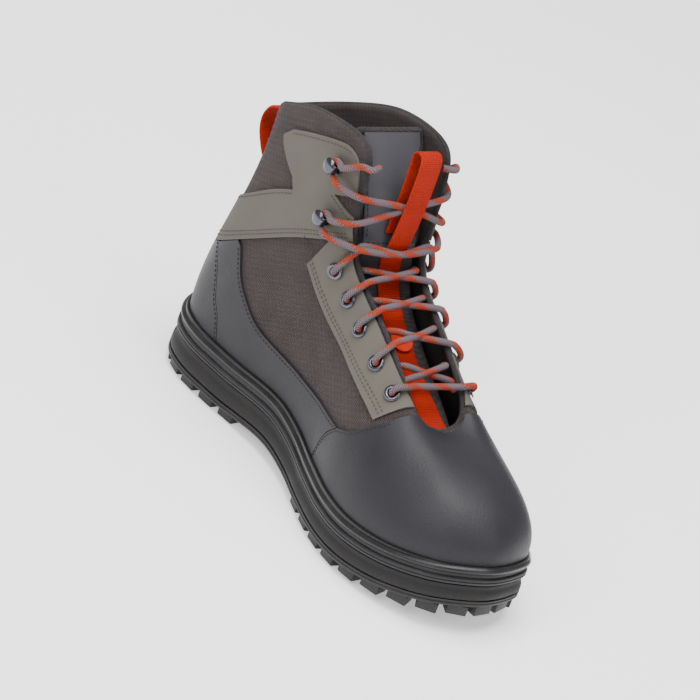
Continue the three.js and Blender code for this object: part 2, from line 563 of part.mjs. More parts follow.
// A hook's own directions on the panel: x back along the boot, where it is open, and z outwards.
function hookFrame(spot) {
  const normal = lastNormal(spot.place, spot.t);
  const back = new THREE.Vector3(-1, 0, 0.12).projectOnPlane(normal).normalize();
  const turn = new THREE.Matrix4().makeBasis(back, normal.clone().cross(back), normal);
  return turn.setPosition(offLast(spot.place, spot.t, OVERLAY_TOP));
}

function hook(spot) {
  const plate = new THREE.CylinderGeometry(HOOK_PLATE / 2, HOOK_PLATE / 2 - 0.6, 1.2, ROUND_SIDES);
  plate.rotateX(Math.PI / 2).translate(0, 0, 2 * GAP + 0.6);
  const outline = [[-3.6, 1.4], [-4.6, HOOK_REACH - 2.5], [-3, HOOK_REACH - 0.4], [0.5, HOOK_REACH], [4, HOOK_REACH - 1.2], [4.2, HOOK_REACH - 2.6], [0.5, HOOK_REACH - 1.6], [-1.9, HOOK_REACH - 2], [-2.8, HOOK_REACH - 3.6], [-1.6, 1.4]];
  const shape = new THREE.Shape(outline.map(([x, y]) => new THREE.Vector2(x, y)));
  const width = HOOK_WIDTH;
  const arm = new THREE.ExtrudeGeometry(shape, { depth: width, bevelEnabled: false });
  arm.rotateX(Math.PI / 2).translate(0, width / 2, 0);
  const solid = toSolid(plate).add(toSolid(arm));
  return toGeometry(solid).applyMatrix4(hookFrame(spot));
}

// The tongue's top face, from its root under the vamp to its top: shares of sole length, collar
// height and collar width, and the drift of its middle to the inner side.
const TONGUE = [
  { along: 0.657, up: 0.412, half: 0.26, lean: 0.02 },
  { along: 0.593, up: 0.456, half: 0.28, lean: 0.026 },
  { along: 0.535, up: 0.502, half: 0.29, lean: 0.026 },
  { along: 0.487, up: 0.554, half: 0.285, lean: 0.03 },
  { along: 0.455, up: 0.61, half: 0.285, lean: 0.035 },
  { along: 0.4375, up: 0.678, half: 0.285, lean: 0.04 },
  { along: 0.4167, up: 0.771, half: 0.295, lean: 0.047 },
  { along: 0.3814, up: 0.878, half: 0.31, lean: 0.053 },
  { along: 0.33, up: 1.005, half: 0.305, lean: 0.053 },
];
const TONGUE_ROOT = 0.9; // level of the vamp that the root reaches under
const TONGUE_DROOP = 10; // its sides hang this far below its middle
const WEBBING_SEAT = GAP + WEBBING_THICK;

// The tongue's rows in millimetres, with the two at the root hung under the vamp's inner face.
function tongueRows() {
  const under = -(UPPER_WALL + 3 * GAP + WEBBING_SEAT);
  const root = [TONGUE_ROOT, 0.995].map((t) => {
    const p = offLast(LAST_STATION, t, under);
    return { x: p.x, z: p.z, half: 0.2 * COLLAR_WIDTH, lean: 0 };
  });
  const rest = TONGUE.map((row) => ({
    x: row.along * SOLE_LENGTH - HEEL_BACK,
    z: row.up * COLLAR_HEIGHT,
    half: row.half * COLLAR_WIDTH,
    lean: row.lean * COLLAR_WIDTH,
  }));
  const rows = [...root, ...rest];
  return rows.map((row, i) => {
    const before = rows[Math.max(0, i - 1)];
    const after = rows[Math.min(rows.length - 1, i + 1)];
    const run = new THREE.Vector2(after.x - before.x, after.z - before.z).normalize();
    return { ...row, out: new THREE.Vector2(run.y, -run.x) };
  });
}
const TONGUE_ROWS = tongueRows();

// A point of the tongue at a row: across from -1 to 1, and depth below its top face.
function tonguePoint(row, across, depth) {
  const sink = depth + TONGUE_DROOP * Math.max(0, Math.abs(across) - 0.25) ** 2;
  return new THREE.Vector3(row.x - row.out.x * sink, across * row.half - row.lean, row.z - row.out.y * sink);
}

function tongue() {
  const ACROSS = [1, 0.6, 0.25, -0.25, -0.6, -1];
  const rings = TONGUE_ROWS.map((row) => [
    ...ACROSS.map((a) => tonguePoint(row, a, 0)),
    ...[...ACROSS].reverse().map((a) => tonguePoint(row, a, TONGUE_THICK)),
  ]);
  return ringsGeometry(rings, false);
}

// A flat strip of webbing along a path in the side view: each point has x, z and a drift to the
// inner side. The strip's middle follows the path, and a path runs upwards at its start.
function strip(path, width, thick) {
  const rings = path.map((p, i) => {
    const before = path[Math.max(0, i - 1)];
    const after = path[Math.min(path.length - 1, i + 1)];
    const run = new THREE.Vector2(after.x - before.x, after.z - before.z).normalize();
    const up = new THREE.Vector2(run.y, -run.x).multiplyScalar(thick / 2);
    const corner = (side, face) => new THREE.Vector3(p.x + face * up.x, (side * width) / 2 - p.lean, p.z + face * up.y);
    return [corner(1, 1), corner(-1, 1), corner(-1, -1), corner(1, -1)];
  });
  return ringsGeometry(rings, false);
}

// A row part way between two rows of the tongue.
function tongueRowAt(f) {
  const i = Math.min(Math.floor(f), TONGUE_ROWS.length - 2);
  const [a, b] = [TONGUE_ROWS[i], TONGUE_ROWS[i + 1]];
  const mix = (key) => a[key] + (b[key] - a[key]) * (f - i);
  return { x: mix("x"), z: mix("z"), half: mix("half"), lean: mix("lean"), out: a.out.clone().lerp(b.out, f - i) };
}

// The smooth panel that faces the tongue's upper part.
const PANEL_THICK = 1.2;
function tonguePanel() {
  const ACROSS = [0.86, 0.6, 0.25, -0.25, -0.6, -0.86];
  const rings = [7.3, 8, 9, 9.93].map(tongueRowAt).map((row) => [
    ...ACROSS.map((a) => tonguePoint(row, a, -GAP - PANEL_THICK)),
    ...[...ACROSS].reverse().map((a) => tonguePoint(row, a, -GAP)),
  ]);
  return ringsGeometry(rings, false);
}

// The orange strap: under the vamp, up the tongue, then a standing loop folded over at the top and
// sewn down again on the tongue's panel. The loop leans over to the outer side.
const STRAP_LAST_ROW = 7; // the row of the tongue where the loop leaves it
const STRAP_FOLD = { along: 0.437, up: 1.012, lean: -0.012, depth: 4.4 };
function strapPath() {
  const lift = GAP + WEBBING_THICK / 2;
  const path = TONGUE_ROWS.slice(0, STRAP_LAST_ROW + 1).map((row) => ({
    x: row.x + row.out.x * lift, z: row.z + row.out.y * lift, lean: row.lean,
  }));
  const base = path.at(-1);
  const fold = { x: STRAP_FOLD.along * SOLE_LENGTH - HEEL_BACK, z: STRAP_FOLD.up * COLLAR_HEIGHT, lean: STRAP_FOLD.lean * COLLAR_WIDTH };
  const mix = (from, to, f, bow) => ({
    x: from.x + (to.x - from.x) * f + bow * Math.sin(Math.PI * f), z: from.z + (to.z - from.z) * f, lean: from.lean + (to.lean - from.lean) * f,
  });
  for (const f of [0.14, 0.4, 0.68, 0.93]) path.push(mix(base, fold, f, 2.2));
  const turn = (angle) => ({
    x: fold.x - STRAP_FOLD.depth * (1 - Math.cos(angle)), z: fold.z - 4 + STRAP_FOLD.depth * Math.sin(angle), lean: fold.lean,
  });
  for (const share of [0.3, 0.7, 1]) path.push(turn(share * Math.PI));
  const seat = tongueRowAt(7.85);
  const off = 2 * GAP + PANEL_THICK + WEBBING_THICK / 2;
  const end = { x: seat.x + seat.out.x * off, z: seat.z + seat.out.y * off, lean: seat.lean };
  for (const f of [0.3, 0.62, 0.86]) path.push(mix(turn(Math.PI), end, f, 0.8));
  path.push(end);
  return path;
}

// The pull loop at the back of the collar, sewn down above and below. Its free run is a table of
// distances out from the line between the two seams, with the share of the way down.
const HEEL_LOOP = { topLevel: 0.965, bottomLevel: 0.75, sewn: 0.045 };
const HEEL_LOOP_RUN = [
  { down: 0.04, out: 8 }, { down: 0.15, out: 14 }, { down: 0.35, out: 17.5 }, { down: 0.56, out: 16.5 },
  { down: 0.76, out: 11.5 }, { down: 0.91, out: 5.5 },
];
function heelLoopPath() {
  const lift = 1.6 * GAP + WEBBING_THICK / 2;
  const lean = between(TABLE.lean, LAST_STATION, false);
  const at = (t) => {
    const p = offLast(0, t, lift);
    return { x: p.x, z: p.z, lean };
  };
  const top = at(HEEL_LOOP.topLevel);
  const bottom = at(HEEL_LOOP.bottomLevel);
  const run = HEEL_LOOP_RUN.map(({ down, out }) => ({
    x: top.x + (bottom.x - top.x) * down - out, z: top.z + (bottom.z - top.z) * down, lean,
  }));
  const upper = at(HEEL_LOOP.topLevel + HEEL_LOOP.sewn * 0.6);
  return [upper, top, ...run, bottom, at(HEEL_LOOP.bottomLevel - HEEL_LOOP.sewn)].reverse();
}

// A plain round keeper on the strap, half way up the throat.
const KEEPER = { row: 4, wide: 15, long: 15, thick: 1.2 };
function keeper() {
  const row = tongueRowAt(KEEPER.row);
  const disc = new THREE.CylinderGeometry(KEEPER.wide / 2, KEEPER.wide / 2, KEEPER.thick, 12);
  disc.rotateX(Math.PI / 2).scale(KEEPER.long / KEEPER.wide, 1, 1);
  const out = new THREE.Vector3(row.out.x, 0, row.out.y);
  const along = new THREE.Vector3(0, 1, 0).cross(out);
  const turn = new THREE.Matrix4().makeBasis(along, new THREE.Vector3(0, 1, 0), out);
  const seat = WEBBING_SEAT + GAP * 3 + KEEPER.thick / 2;
  turn.setPosition(tonguePoint(row, 0, 0).addScaledVector(out, seat));
  return disc.applyMatrix4(turn);
}

// A cord through a list of points, with one ring of its surface at each.
const LACE_SIDES = 6;
function cord(points) {
  let across = null;
  const rings = points.map((p, i) => {
    const run = points[Math.min(i + 1, points.length - 1)].clone().sub(points[Math.max(i - 1, 0)]).normalize();
    across = (across ?? new THREE.Vector3(0.3, 0.2, 1)).clone().projectOnPlane(run).normalize();
    const other = across.clone().cross(run);
    return Array.from({ length: LACE_SIDES }, (_, k) => {
      const angle = (k / LACE_SIDES) * 2 * Math.PI;
      const ring = across.clone().multiplyScalar(Math.cos(angle)).addScaledVector(other, Math.sin(angle));
      return ring.multiplyScalar(LACE_DIAMETER / 2).add(p);
    });
  });
  return toSolid(ringsGeometry(rings, false));
}

const fastener = (kind, side, i) => FASTENERS[kind].find((spot) => spot.side === side && spot.i === i);
const LACE_HALF = LACE_DIAMETER / 2;

// The place on the rim that is nearest to an eyelet or hook.
function rimNear(spot) {
  const home = lastPoint(spot.place, spot.t);
  let best = { miss: Infinity };
  const start = spot.side < 0 ? 0 : LAST_STATION;
  for (let place = start; place <= start + LAST_STATION; place += 0.05) {
    const miss = lastPoint(place, 1).distanceTo(home);
    if (miss < best.miss) best = { miss, place };
  }
  return best.place;
}

// A place on the rim beside eyelet i, a share of the way on to the next one.
function rimPlace(side, i, step) {
  const here = rimNear(fastener("eyelet", side, i));
  const other = i + (step > 0 ? 1 : -1);
  if (other < 0 || other >= EYELETS.length) return here + step * side * 1.1;
  return here + (rimNear(fastener("eyelet", side, other)) - here) * Math.abs(step);
}

// A lace comes up out of an eyelet and goes over the facing's edge.
function outOfEyelet(side, i, step) {
  const spot = fastener("eyelet", side, i);
  const up = lastNormal(spot.place, spot.t);
  const place = rimPlace(side, i, step);
  const rim = offLast(place, 1, OVERLAY_TOP + LACE_HALF + 2 * GAP);
  const edge = lastPoint(place, 1);
  const past = edge.clone().lerp(lastPoint(spot.place, spot.t), -0.3).addScaledVector(lastNormal(place, 1), LACE_HALF + 2 * GAP);
  const seat = offLast(spot.place, spot.t, OVERLAY_TOP);
  const to = rim.clone().sub(seat).projectOnPlane(up).normalize();
  const point = (high, far) => seat.clone().addScaledVector(up, high).addScaledVector(to, far);
  return [point(0.9, 0), point(2.9, 0.4), point(4.2, 2), point(4.3, 5.4), rim, past];
}

// A lace goes in under a facing's edge, towards the eyelet's place, and stops.
function underFacing(side, i, step) {
  const spot = fastener("eyelet", side, i);
  const off = -(UPPER_WALL + LACE_HALF + 3.5 * GAP);
  const place = rimPlace(side, i, step);
  const edge = lastPoint(place, 1);
  const home = lastPoint(spot.place, spot.t);
  const shares = i < EYELETS.length - 1 ? [-0.5, -0.15, 0.25, 0.5] : [-0.5, -0.15, 0.15];
  return shares.map((share) => {
    const normal = lastNormal(place, 1).lerp(lastNormal(spot.place, spot.t), share).normalize();
    return edge.clone().lerp(home, share).addScaledVector(normal, off - 0.6 * Math.abs(share));
  });
}

// A lace goes round a hook, from below to above.
const AROUND_HOOK = [[-9.5, -5, 2.4], [-4.6, -5, 0.3], [-1, -4.6, 0], [0.9, -2.4, 0], [0.9, 2.4, 0], [-1, 4.6, 0], [-4.6, 5, 0.3], [-9.5, 5, 2.4]];
function roundHook(side, i) {
  const frame = hookFrame(fastener("hook", side, i));
  const points = AROUND_HOOK.map(([x, y, up]) => new THREE.Vector3(x, y, 3 * GAP + 1.2 + LACE_HALF + up).applyMatrix4(frame));
  return points[0].z < points.at(-1).z ? points : points.reverse();
}
const overRim = (side, at, t, off) => offLast(LAST_STATION + side * at, t, off);

// The middle of a crossing, pushed forward where it would touch what lies on the tongue.
const STRAP_CLEAR = WEBBING_SEAT + LACE_HALF + 4 * GAP;
const KEEPER_CLEAR = STRAP_CLEAR + KEEPER.thick + 2 * GAP;
function middle(a, b, clear) {
  const m = a.clone().lerp(b, 0.5);
  let best = { miss: Infinity };
  for (let f = 0; f < TONGUE_ROWS.length - 1; f += 0.05) {
    const row = tongueRowAt(f);
    const miss = Math.hypot(m.x - row.x, m.z - row.z);
    if (miss < best.miss) best = { miss, row };
  }
  const { row } = best;
  const off = (m.x - row.x) * row.out.x + (m.z - row.z) * row.out.y;
  const push = Math.max(0, clear - off);
  return new THREE.Vector3(m.x + row.out.x * push, -row.lean, m.z + row.out.y * push);
}
function joined(from, to, clear) {
  return cord([...from, middle(from.at(-1), to[0], clear), ...to]);
}

const crossing = (strand) => strand(-1).add(strand(1));
const laceBar = () => joined(outOfEyelet(-1, 0, 0), outOfEyelet(1, 0, 0).reverse(), 0);
const underCross = () => crossing((side) => joined(underFacing(side, 0, 0.2).reverse(), underFacing(-side, 1, -0.2), STRAP_CLEAR));
const overCross = (i) => crossing((side) => joined(outOfEyelet(side, i, 0.2), underFacing(-side, i + 1, -0.2), KEEPER_CLEAR));

// From the top eyelets to the lower hooks, crossing in front of the strap, then through the strap's
// loop to the upper hooks, and in behind the collar's front edge.
const LOW_CROSS = { along: 0.462, up: 0.715 };
const HIGH_CROSS = { along: 0.4345, up: 0.845 };
function topCross() {
  const lean = -COLLAR_WIDTH * 0.03;
  return crossing((side) => {
    const over = (spot, up, y) => new THREE.Vector3(spot.along * SOLE_LENGTH - HEEL_BACK, y, (spot.up + up) * COLLAR_HEIGHT);
    const rim = OVERLAY_TOP + LACE_HALF + 2 * GAP;
    return cord([
      ...outOfEyelet(side, 4, 0.4),
      over(LOW_CROSS, 0, lean),
      overRim(-side, 8.3, 1, rim + 3.2), overRim(-side, 8.75, 0.93, rim + 2), ...roundHook(-side, 0), overRim(-side, 9.1, 1, rim + 0.5),
      over(HIGH_CROSS, -0.012, lean - side * 9), over(HIGH_CROSS, 0.012, lean + side * 9),
      overRim(side, 9.75, 1, rim), ...roundHook(side, 1), overRim(side, 10.5, 1, rim - GAP),
      overRim(side, 10.5, 1, 0.5).add(new THREE.Vector3(6, 0, 0)), overRim(side, 10.5, 1, -7).add(new THREE.Vector3(3, 0, 0)),
    ]);
  });
}

// The plain inlay in the waist of the outsole's underside.
const INLAY = { at: (ARCH_PAIR + SMALL_LUG / 2 + FIRST_ROW - HEX_LUG / 2) / 2 - 1.2, long: SOLE_LENGTH * 0.064, wide: 40, thick: 1.2 };
function soleInlay() {
  const disc = new THREE.CylinderGeometry(INLAY.long / 2, INLAY.long / 2, INLAY.thick, 16);
  disc.rotateX(Math.PI / 2).scale(1, INLAY.wide / INLAY.long, 1).translate(INLAY.at, 0, 0);
  const spots = disc.getAttribute("position");
  const under = LUG_DEPTH - GAP - INLAY.thick / 2;
  for (let i = 0; i < spots.count; i++) spots.setZ(i, spots.getZ(i) + rise(spots.getX(i)) + under);
  return disc;
}

for (const panel of PANELS) {
  for (const side of panel.sides) {
    const name = side === 0 ? panel.name : `${panel.name}_${SIDE_NAME[side]}`;
    let body = panelSolid(panel, side);
    if (panel.name === "eyestay") {
      for (const spot of FASTENERS.eyelet.filter((e) => e.side === side)) body = body.subtract(eyeletHole(spot));
    }
    add(name, toGeometry(body), panel.look);
  }
}

for (const spot of FASTENERS.eyelet) upperBody = upperBody.subtract(eyeletHole(spot));
add("upper", toGeometry(upperBody), MESH);
add("storm_welt", stormWelt(), BLACK_RUBBER);
for (const spot of FASTENERS.eyelet) add(`eyelet_${SIDE_NAME[spot.side]}_${spot.i + 1}`, eyelet(spot), STEEL);
for (const spot of FASTENERS.hook) add(`hook_${SIDE_NAME[spot.side]}_${spot.i + 1}`, hook(spot), STEEL);
add("tongue", tongue(), TONGUE_GREY);
add("tongue_strap", strip(strapPath(), WEBBING_WIDTH, WEBBING_THICK), ORANGE);
add("heel_loop", strip(heelLoopPath(), WEBBING_WIDTH, WEBBING_THICK), ORANGE);
add("strap_keeper", keeper(), ORANGE);
add("tongue_panel", tonguePanel(), TONGUE_GREY);
add("sole_inlay", soleInlay(), ORANGE);
add("lace_bar", toGeometry(laceBar()), LACE_GREY);
add("lace_cross_1", toGeometry(underCross()), LACE_GREY);
for (const i of [1, 2, 3]) add(`lace_cross_${i + 1}`, toGeometry(overCross(i)), LACE_GREY);
add("lace_top", toGeometry(topCross()), LACE_GREY);

export default root;
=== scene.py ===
# %% [markdown]
# A left wading boot, dressed in Blender over its measured frame. The frame holds the true sizes, and
# every piece here is placed by the same numbers, so nothing is fitted by eye. Lengths are metres,
# +X runs to the toe, +Y to the boot's outer side, and +Z up.

# %% The frame
import math

import bmesh
import bpy
from mathutils import Matrix, Vector
from mathutils.kdtree import KDTree


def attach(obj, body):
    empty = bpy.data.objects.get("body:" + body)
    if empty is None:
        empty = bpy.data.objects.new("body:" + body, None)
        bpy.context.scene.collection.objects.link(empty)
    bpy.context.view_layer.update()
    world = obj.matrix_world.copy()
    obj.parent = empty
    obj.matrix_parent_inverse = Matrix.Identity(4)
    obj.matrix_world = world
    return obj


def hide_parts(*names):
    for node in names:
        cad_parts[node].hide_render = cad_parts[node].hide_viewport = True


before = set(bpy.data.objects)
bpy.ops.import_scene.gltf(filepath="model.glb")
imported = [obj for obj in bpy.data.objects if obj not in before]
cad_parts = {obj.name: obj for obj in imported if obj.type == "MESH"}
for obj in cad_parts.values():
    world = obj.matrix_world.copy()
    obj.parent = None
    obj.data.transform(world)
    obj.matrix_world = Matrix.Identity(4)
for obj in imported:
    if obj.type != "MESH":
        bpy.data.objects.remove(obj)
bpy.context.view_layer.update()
print("frame nodes:", len(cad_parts))

# %% [markdown]
# The camera comes first. The photo was taken with a long lens from the toe's inner side, looking
# down on a boot that leans, so the camera here is rolled by the same amount and the boot stands
# upright. A camera looks along its own -Z, so its three axes are set as the columns of its matrix.

# %% Camera
MM = 0.001
LEANING = Vector((0.513, 0.798, 0.316))  # the way to the picture's right
BACK = Vector((0.661, -0.602, 0.448)).normalized()  # the way from the boot to the camera
AIM = Vector((0.110, 0.0, 0.090)) - LEANING * 0.019
CAMERA_DISTANCE = 3.198
FOCAL_LENGTH = 229.2
ENLARGE = 1.25

bpy.ops.object.camera_add()
camera = bpy.context.object
camera.name = "camera"
right = (LEANING - BACK * LEANING.dot(BACK)).normalized()
turn = Matrix((right, BACK.cross(right), BACK)).transposed().to_4x4()
camera.matrix_world = Matrix.Translation(AIM + BACK * CAMERA_DISTANCE) @ turn
camera.data.sensor_width = 36
camera.data.lens = FOCAL_LENGTH * ENLARGE
camera.data.clip_end = 50
bpy.context.scene.camera = camera
print("camera height:", round(camera.matrix_world.translation.z, 3))

# %% [markdown]
# A boot is built on a last, a wooden or plastic foot. Every piece of the upper follows it, so the
# last is written once as a function and all the pieces ask it for their points. A table of stations
# goes round the boot from the middle of the toe to the middle of the heel. At each station a curve
# climbs from the foot edge to the top edge.

# %% Sizes
SOLE_LENGTH = 312 * MM
BALL_WIDTH = 118 * MM
HEEL_WIDTH = 90 * MM
COLLAR_WIDTH = 76 * MM
COLLAR_HEIGHT = 205 * MM
HEEL_BACK = 45 * MM
LUG_DEPTH = 5 * MM
OUTSOLE_TOP = 9 * MM
MIDSOLE_TOP = (22 * MM, 19 * MM)  # at the heel and at the ball
FOXING_TOP = (31 * MM, 27 * MM)
WELT_HEIGHT = 5 * MM
WELT_WIDTH = 4.2 * MM
FEATHER_INSET = 6 * MM
UPPER_WALL = 2.4 * MM
COLLAR_PAD = 3.6 * MM
OVERLAY_THICK = 1.4 * MM
GAP = 0.3 * MM
FOOT_GAP = 0.45 * MM
OVERLAY_TOP = GAP + OVERLAY_THICK
OUTER_NECK = 0.79
FOOT_SQUARE = 0.06
SIDES = ((-1, "inner"), (1, "outer"))
BALL_ROWS = 9  # so many stations measure the foot edge by the ball's width, the rest by the heel's
STATION_COLUMNS = (
    "along", "inner", "outer", "rim_at", "rim_half", "rim_up",
    "swell", "climb", "neck_at", "neck_half", "neck_up", "lean",
)
STATIONS = [
    (1.0, 0.034, -0.034, 0.718, 0.0, 0.395, 0.07, 0.15, 0.865, 0.0, 0.41, 0),  # toe
    (0.974, 0.229, 0.203, 0.716, 0.079, 0.4, 0.07, 0.15, 0.856, 0.171, 0.412, 0),  # toe corner
    (0.933, 0.347, 0.318, 0.711, 0.158, 0.412, 0.068, 0.135, 0.83, 0.29, 0.417, 0.007),  # toe side
    (0.859, 0.449, 0.428, 0.697, 0.217, 0.439, 0.06, 0.117, 0.779, 0.38, 0.417, 0.013),  # little toe
    (0.769, 0.496, 0.494, 0.66, 0.257, 0.488, 0.047, 0.112, 0.708, 0.42, 0.432, 0.02),  # ball
    (0.679, 0.479, 0.507, 0.606, 0.267, 0.537, 0.034, 0.127, 0.638, 0.42, 0.456, 0.026),  # ball back
    (0.59, 0.419, 0.466, 0.542, 0.276, 0.583, 0.03, 0.156, 0.574, 0.434, 0.502, 0.026),  # waist front
    (0.5, 0.347, 0.415, 0.481, 0.289, 0.629, 0.034, 0.176, 0.51, 0.434, 0.537, 0.033),  # waist
    (0.41, 0.318, 0.377, 0.433, 0.322, 0.693, 0.051, 0.195, 0.455, 0.441, 0.566, 0.04),  # waist back
    (0.32, 0.444, 0.478, 0.42, 0.368, 0.78, 0.051, 0.22, 0.426, 0.447, 0.634, 0.053),  # ankle front
    (0.231, 0.494, 0.481, 0.41, 0.388, 0.893, 0.042, 0.244, 0.369, 0.454, 0.673, 0.053),  # ankle
    (0.147, 0.517, 0.478, 0.375, 0.395, 1.0, 0.034, 0.244, 0.272, 0.447, 0.659, 0.053),  # collar corner
    (0.071, 0.447, 0.411, 0.234, 0.421, 0.98, 0.045, 0.235, 0.168, 0.434, 0.61, 0.053),  # collar side
    (0.016, 0.245, 0.222, 0.096, 0.335, 0.883, 0.073, 0.205, 0.1, 0.3, 0.546, 0.04),  # heel side
    (0.0, 0.0, 0.0, 0.038, 0.0, 0.83, 0.12, 0.18, 0.087, 0.0, 0.512, 0.026),  # heel
]
LAST_STATION = len(STATIONS) - 1
ROUND = 2 * LAST_STATION


def column(name, size, base=0.0):
    i = STATION_COLUMNS.index(name)
    return [row[i] * size - base for row in STATIONS]


def widths(name):
    return column(name, BALL_WIDTH)[:BALL_ROWS] + column(name, HEEL_WIDTH)[BALL_ROWS:]


TABLE = {
    "edge_x": column("along", SOLE_LENGTH, HEEL_BACK),
    "inner_y": widths("inner"),
    "outer_y": widths("outer"),
    "rim_x": column("rim_at", SOLE_LENGTH, HEEL_BACK),
    "rim_y": column("rim_half", COLLAR_WIDTH),
    "rim_z": column("rim_up", COLLAR_HEIGHT),
    "swell": column("swell", BALL_WIDTH),
    "climb": column("climb", COLLAR_HEIGHT),
    "neck_x": column("neck_at", SOLE_LENGTH, HEEL_BACK),
    "neck_y": column("neck_half", COLLAR_WIDTH),
    "neck_z": column("neck_up", COLLAR_HEIGHT),
    "lean": column("lean", COLLAR_WIDTH),
}
print("stations:", len(STATIONS))

# %% [markdown]
# Between two stations the numbers run smoothly, as a draughtsman's spline does. Past the toe and
# the heel the rows turn back on themselves, which keeps both ends round.

# %% The last
SPRING_START = 0.215  # how far along the sole its toe begins to rise
TOE_SPRING = 15 * MM
ARCH_AT, ARCH_REACH, ARCH_RISE = 0.125, 0.045, 2.5 * MM
NORMAL_STEP = 0.02


def between(values, place, odd=False):
    last = len(values) - 1

    def row(i):
        if i < 0:
            return 2 * values[0] - values[-i] if odd else values[-i]
        if i > last:
            return 2 * values[last] - values[2 * last - i] if odd else values[2 * last - i]
        return values[i]

    i = min(math.floor(place), last - 1)
    f = place - i
    start, end = (row(i + 1) - row(i - 1)) / 2, (row(i + 2) - row(i)) / 2
    return (
        (2 * f**3 - 3 * f**2 + 1) * row(i) + (f**3 - 2 * f**2 + f) * start
        + (3 * f**2 - 2 * f**3) * row(i + 1) + (f**3 - f**2) * end
    )


def smooth(value, low, high):
    f = min(1.0, max(0.0, (value - low) / (high - low)))
    return f * f * (3 - 2 * f)


def station_of(place):
    turned = place % ROUND
    return abs(LAST_STATION - turned), (-1 if turned <= LAST_STATION else 1)


def sole_edge(place):
    at, side = station_of(place)
    half = between(TABLE["inner_y" if side < 0 else "outer_y"], at, True)
    return Vector((between(TABLE["edge_x"], at), side * half))


def edge_out(place):
    run = (sole_edge(place + 0.05) - sole_edge(place - 0.05)).normalized()
    return Vector((run.y, -run.x))


def inset_edge(place, inset):
    return sole_edge(place) - edge_out(place) * inset


def rise(x):
    """How high the curved sole stands off the ground."""
    back = x + HEEL_BACK
    spring = max(0.0, back - SPRING_START) / (SOLE_LENGTH - SPRING_START)
    arch = min(1.0, abs(back - ARCH_AT) / ARCH_REACH)
    return TOE_SPRING * spring**2 + ARCH_RISE * (1 + math.cos(math.pi * arch)) / 2


def level(x, heel, toe):
    forward = smooth(x + HEEL_BACK, SOLE_LENGTH * 0.2, SOLE_LENGTH * 0.7)
    return rise(x) + heel + (toe - heel) * forward


def foxing_top(x):
    return level(x, *FOXING_TOP)


def last_point(place, t):
    """The last's skin at a place round the boot, from its foot at t = 0 to its rim at 1."""
    at, side = station_of(place)

    def seen(name, odd=False):
        return between(TABLE[name], at, odd)

    foot, out = inset_edge(place, FEATHER_INSET), edge_out(place)
    foot_z = foxing_top(foot.x) + FOOT_GAP
    swell, lean = seen("swell"), seen("lean")
    flat = OUTER_NECK + (1 - OUTER_NECK) * smooth(at, 8, 11) if side > 0 else 1.0
    neck_y = side * flat * seen("neck_y", True) - lean
    rim_y = side * seen("rim_y", True) - lean
    p0 = Vector((foot.x, foot.y, foot_z))
    p1 = Vector((foot.x + out.x * swell, foot.y + out.y * swell, foot_z + seen("climb")))
    p2 = Vector((seen("neck_x"), neck_y, seen("neck_z")))
    p3 = Vector((seen("rim_x"), rim_y, seen("rim_z")))
    s = 1 - t
    return p0 * s**3 + p1 * (3 * s * s * t) + p2 * (3 * s * t * t) + p3 * t**3


def last_normal(place, t):
    step = NORMAL_STEP
    along = last_point(place + step, t) - last_point(place - step, t)
    up = last_point(place, min(1, t + step)) - last_point(place, max(0, t - step))
    normal = along.cross(up).normalized()
    normal.z *= min(1.0, t / FOOT_SQUARE)
    return normal.normalized()


def off_last(place, t, off):
    p = last_point(place, t) + last_normal(place, t) * off
    if t == 0:
        p.z = foxing_top(p.x) + FOOT_GAP
    return p


print("last at the throat's front:", [round(v, 4) for v in last_point(LAST_STATION, 1)])

# %% [markdown]
# Shader maths is easier to read as sums than as wires. The class below holds one socket of a
# material's nodes and turns Python's own signs into Math nodes, so that a woven pattern can be
# written as a product of two waves.

# %% Shader maths


class Wire:
    """One value in a material, so that shader maths reads as an expression."""

    def __init__(self, finish, socket):
        self.finish, self.socket = finish, socket

    def math(self, operation, *others, clamp=False):
        settings = {"operation": operation, "use_clamp": clamp}
        return self.finish.node("ShaderNodeMath", settings, dict(enumerate([self, *others])))

    def __add__(self, other):
        return self.math("ADD", other)

    def __sub__(self, other):
        return self.math("SUBTRACT", other)

    def __mul__(self, other):
        return self.math("MULTIPLY", other)

    def sine(self):
        return self.math("SINE")

    def size(self):
        return self.math("ABSOLUTE")

    def above(self, other):
        return self.math("GREATER_THAN", other)

    def kept(self):
        """The same value, held between nought and one."""
        return self.math("ADD", 0.0, clamp=True)


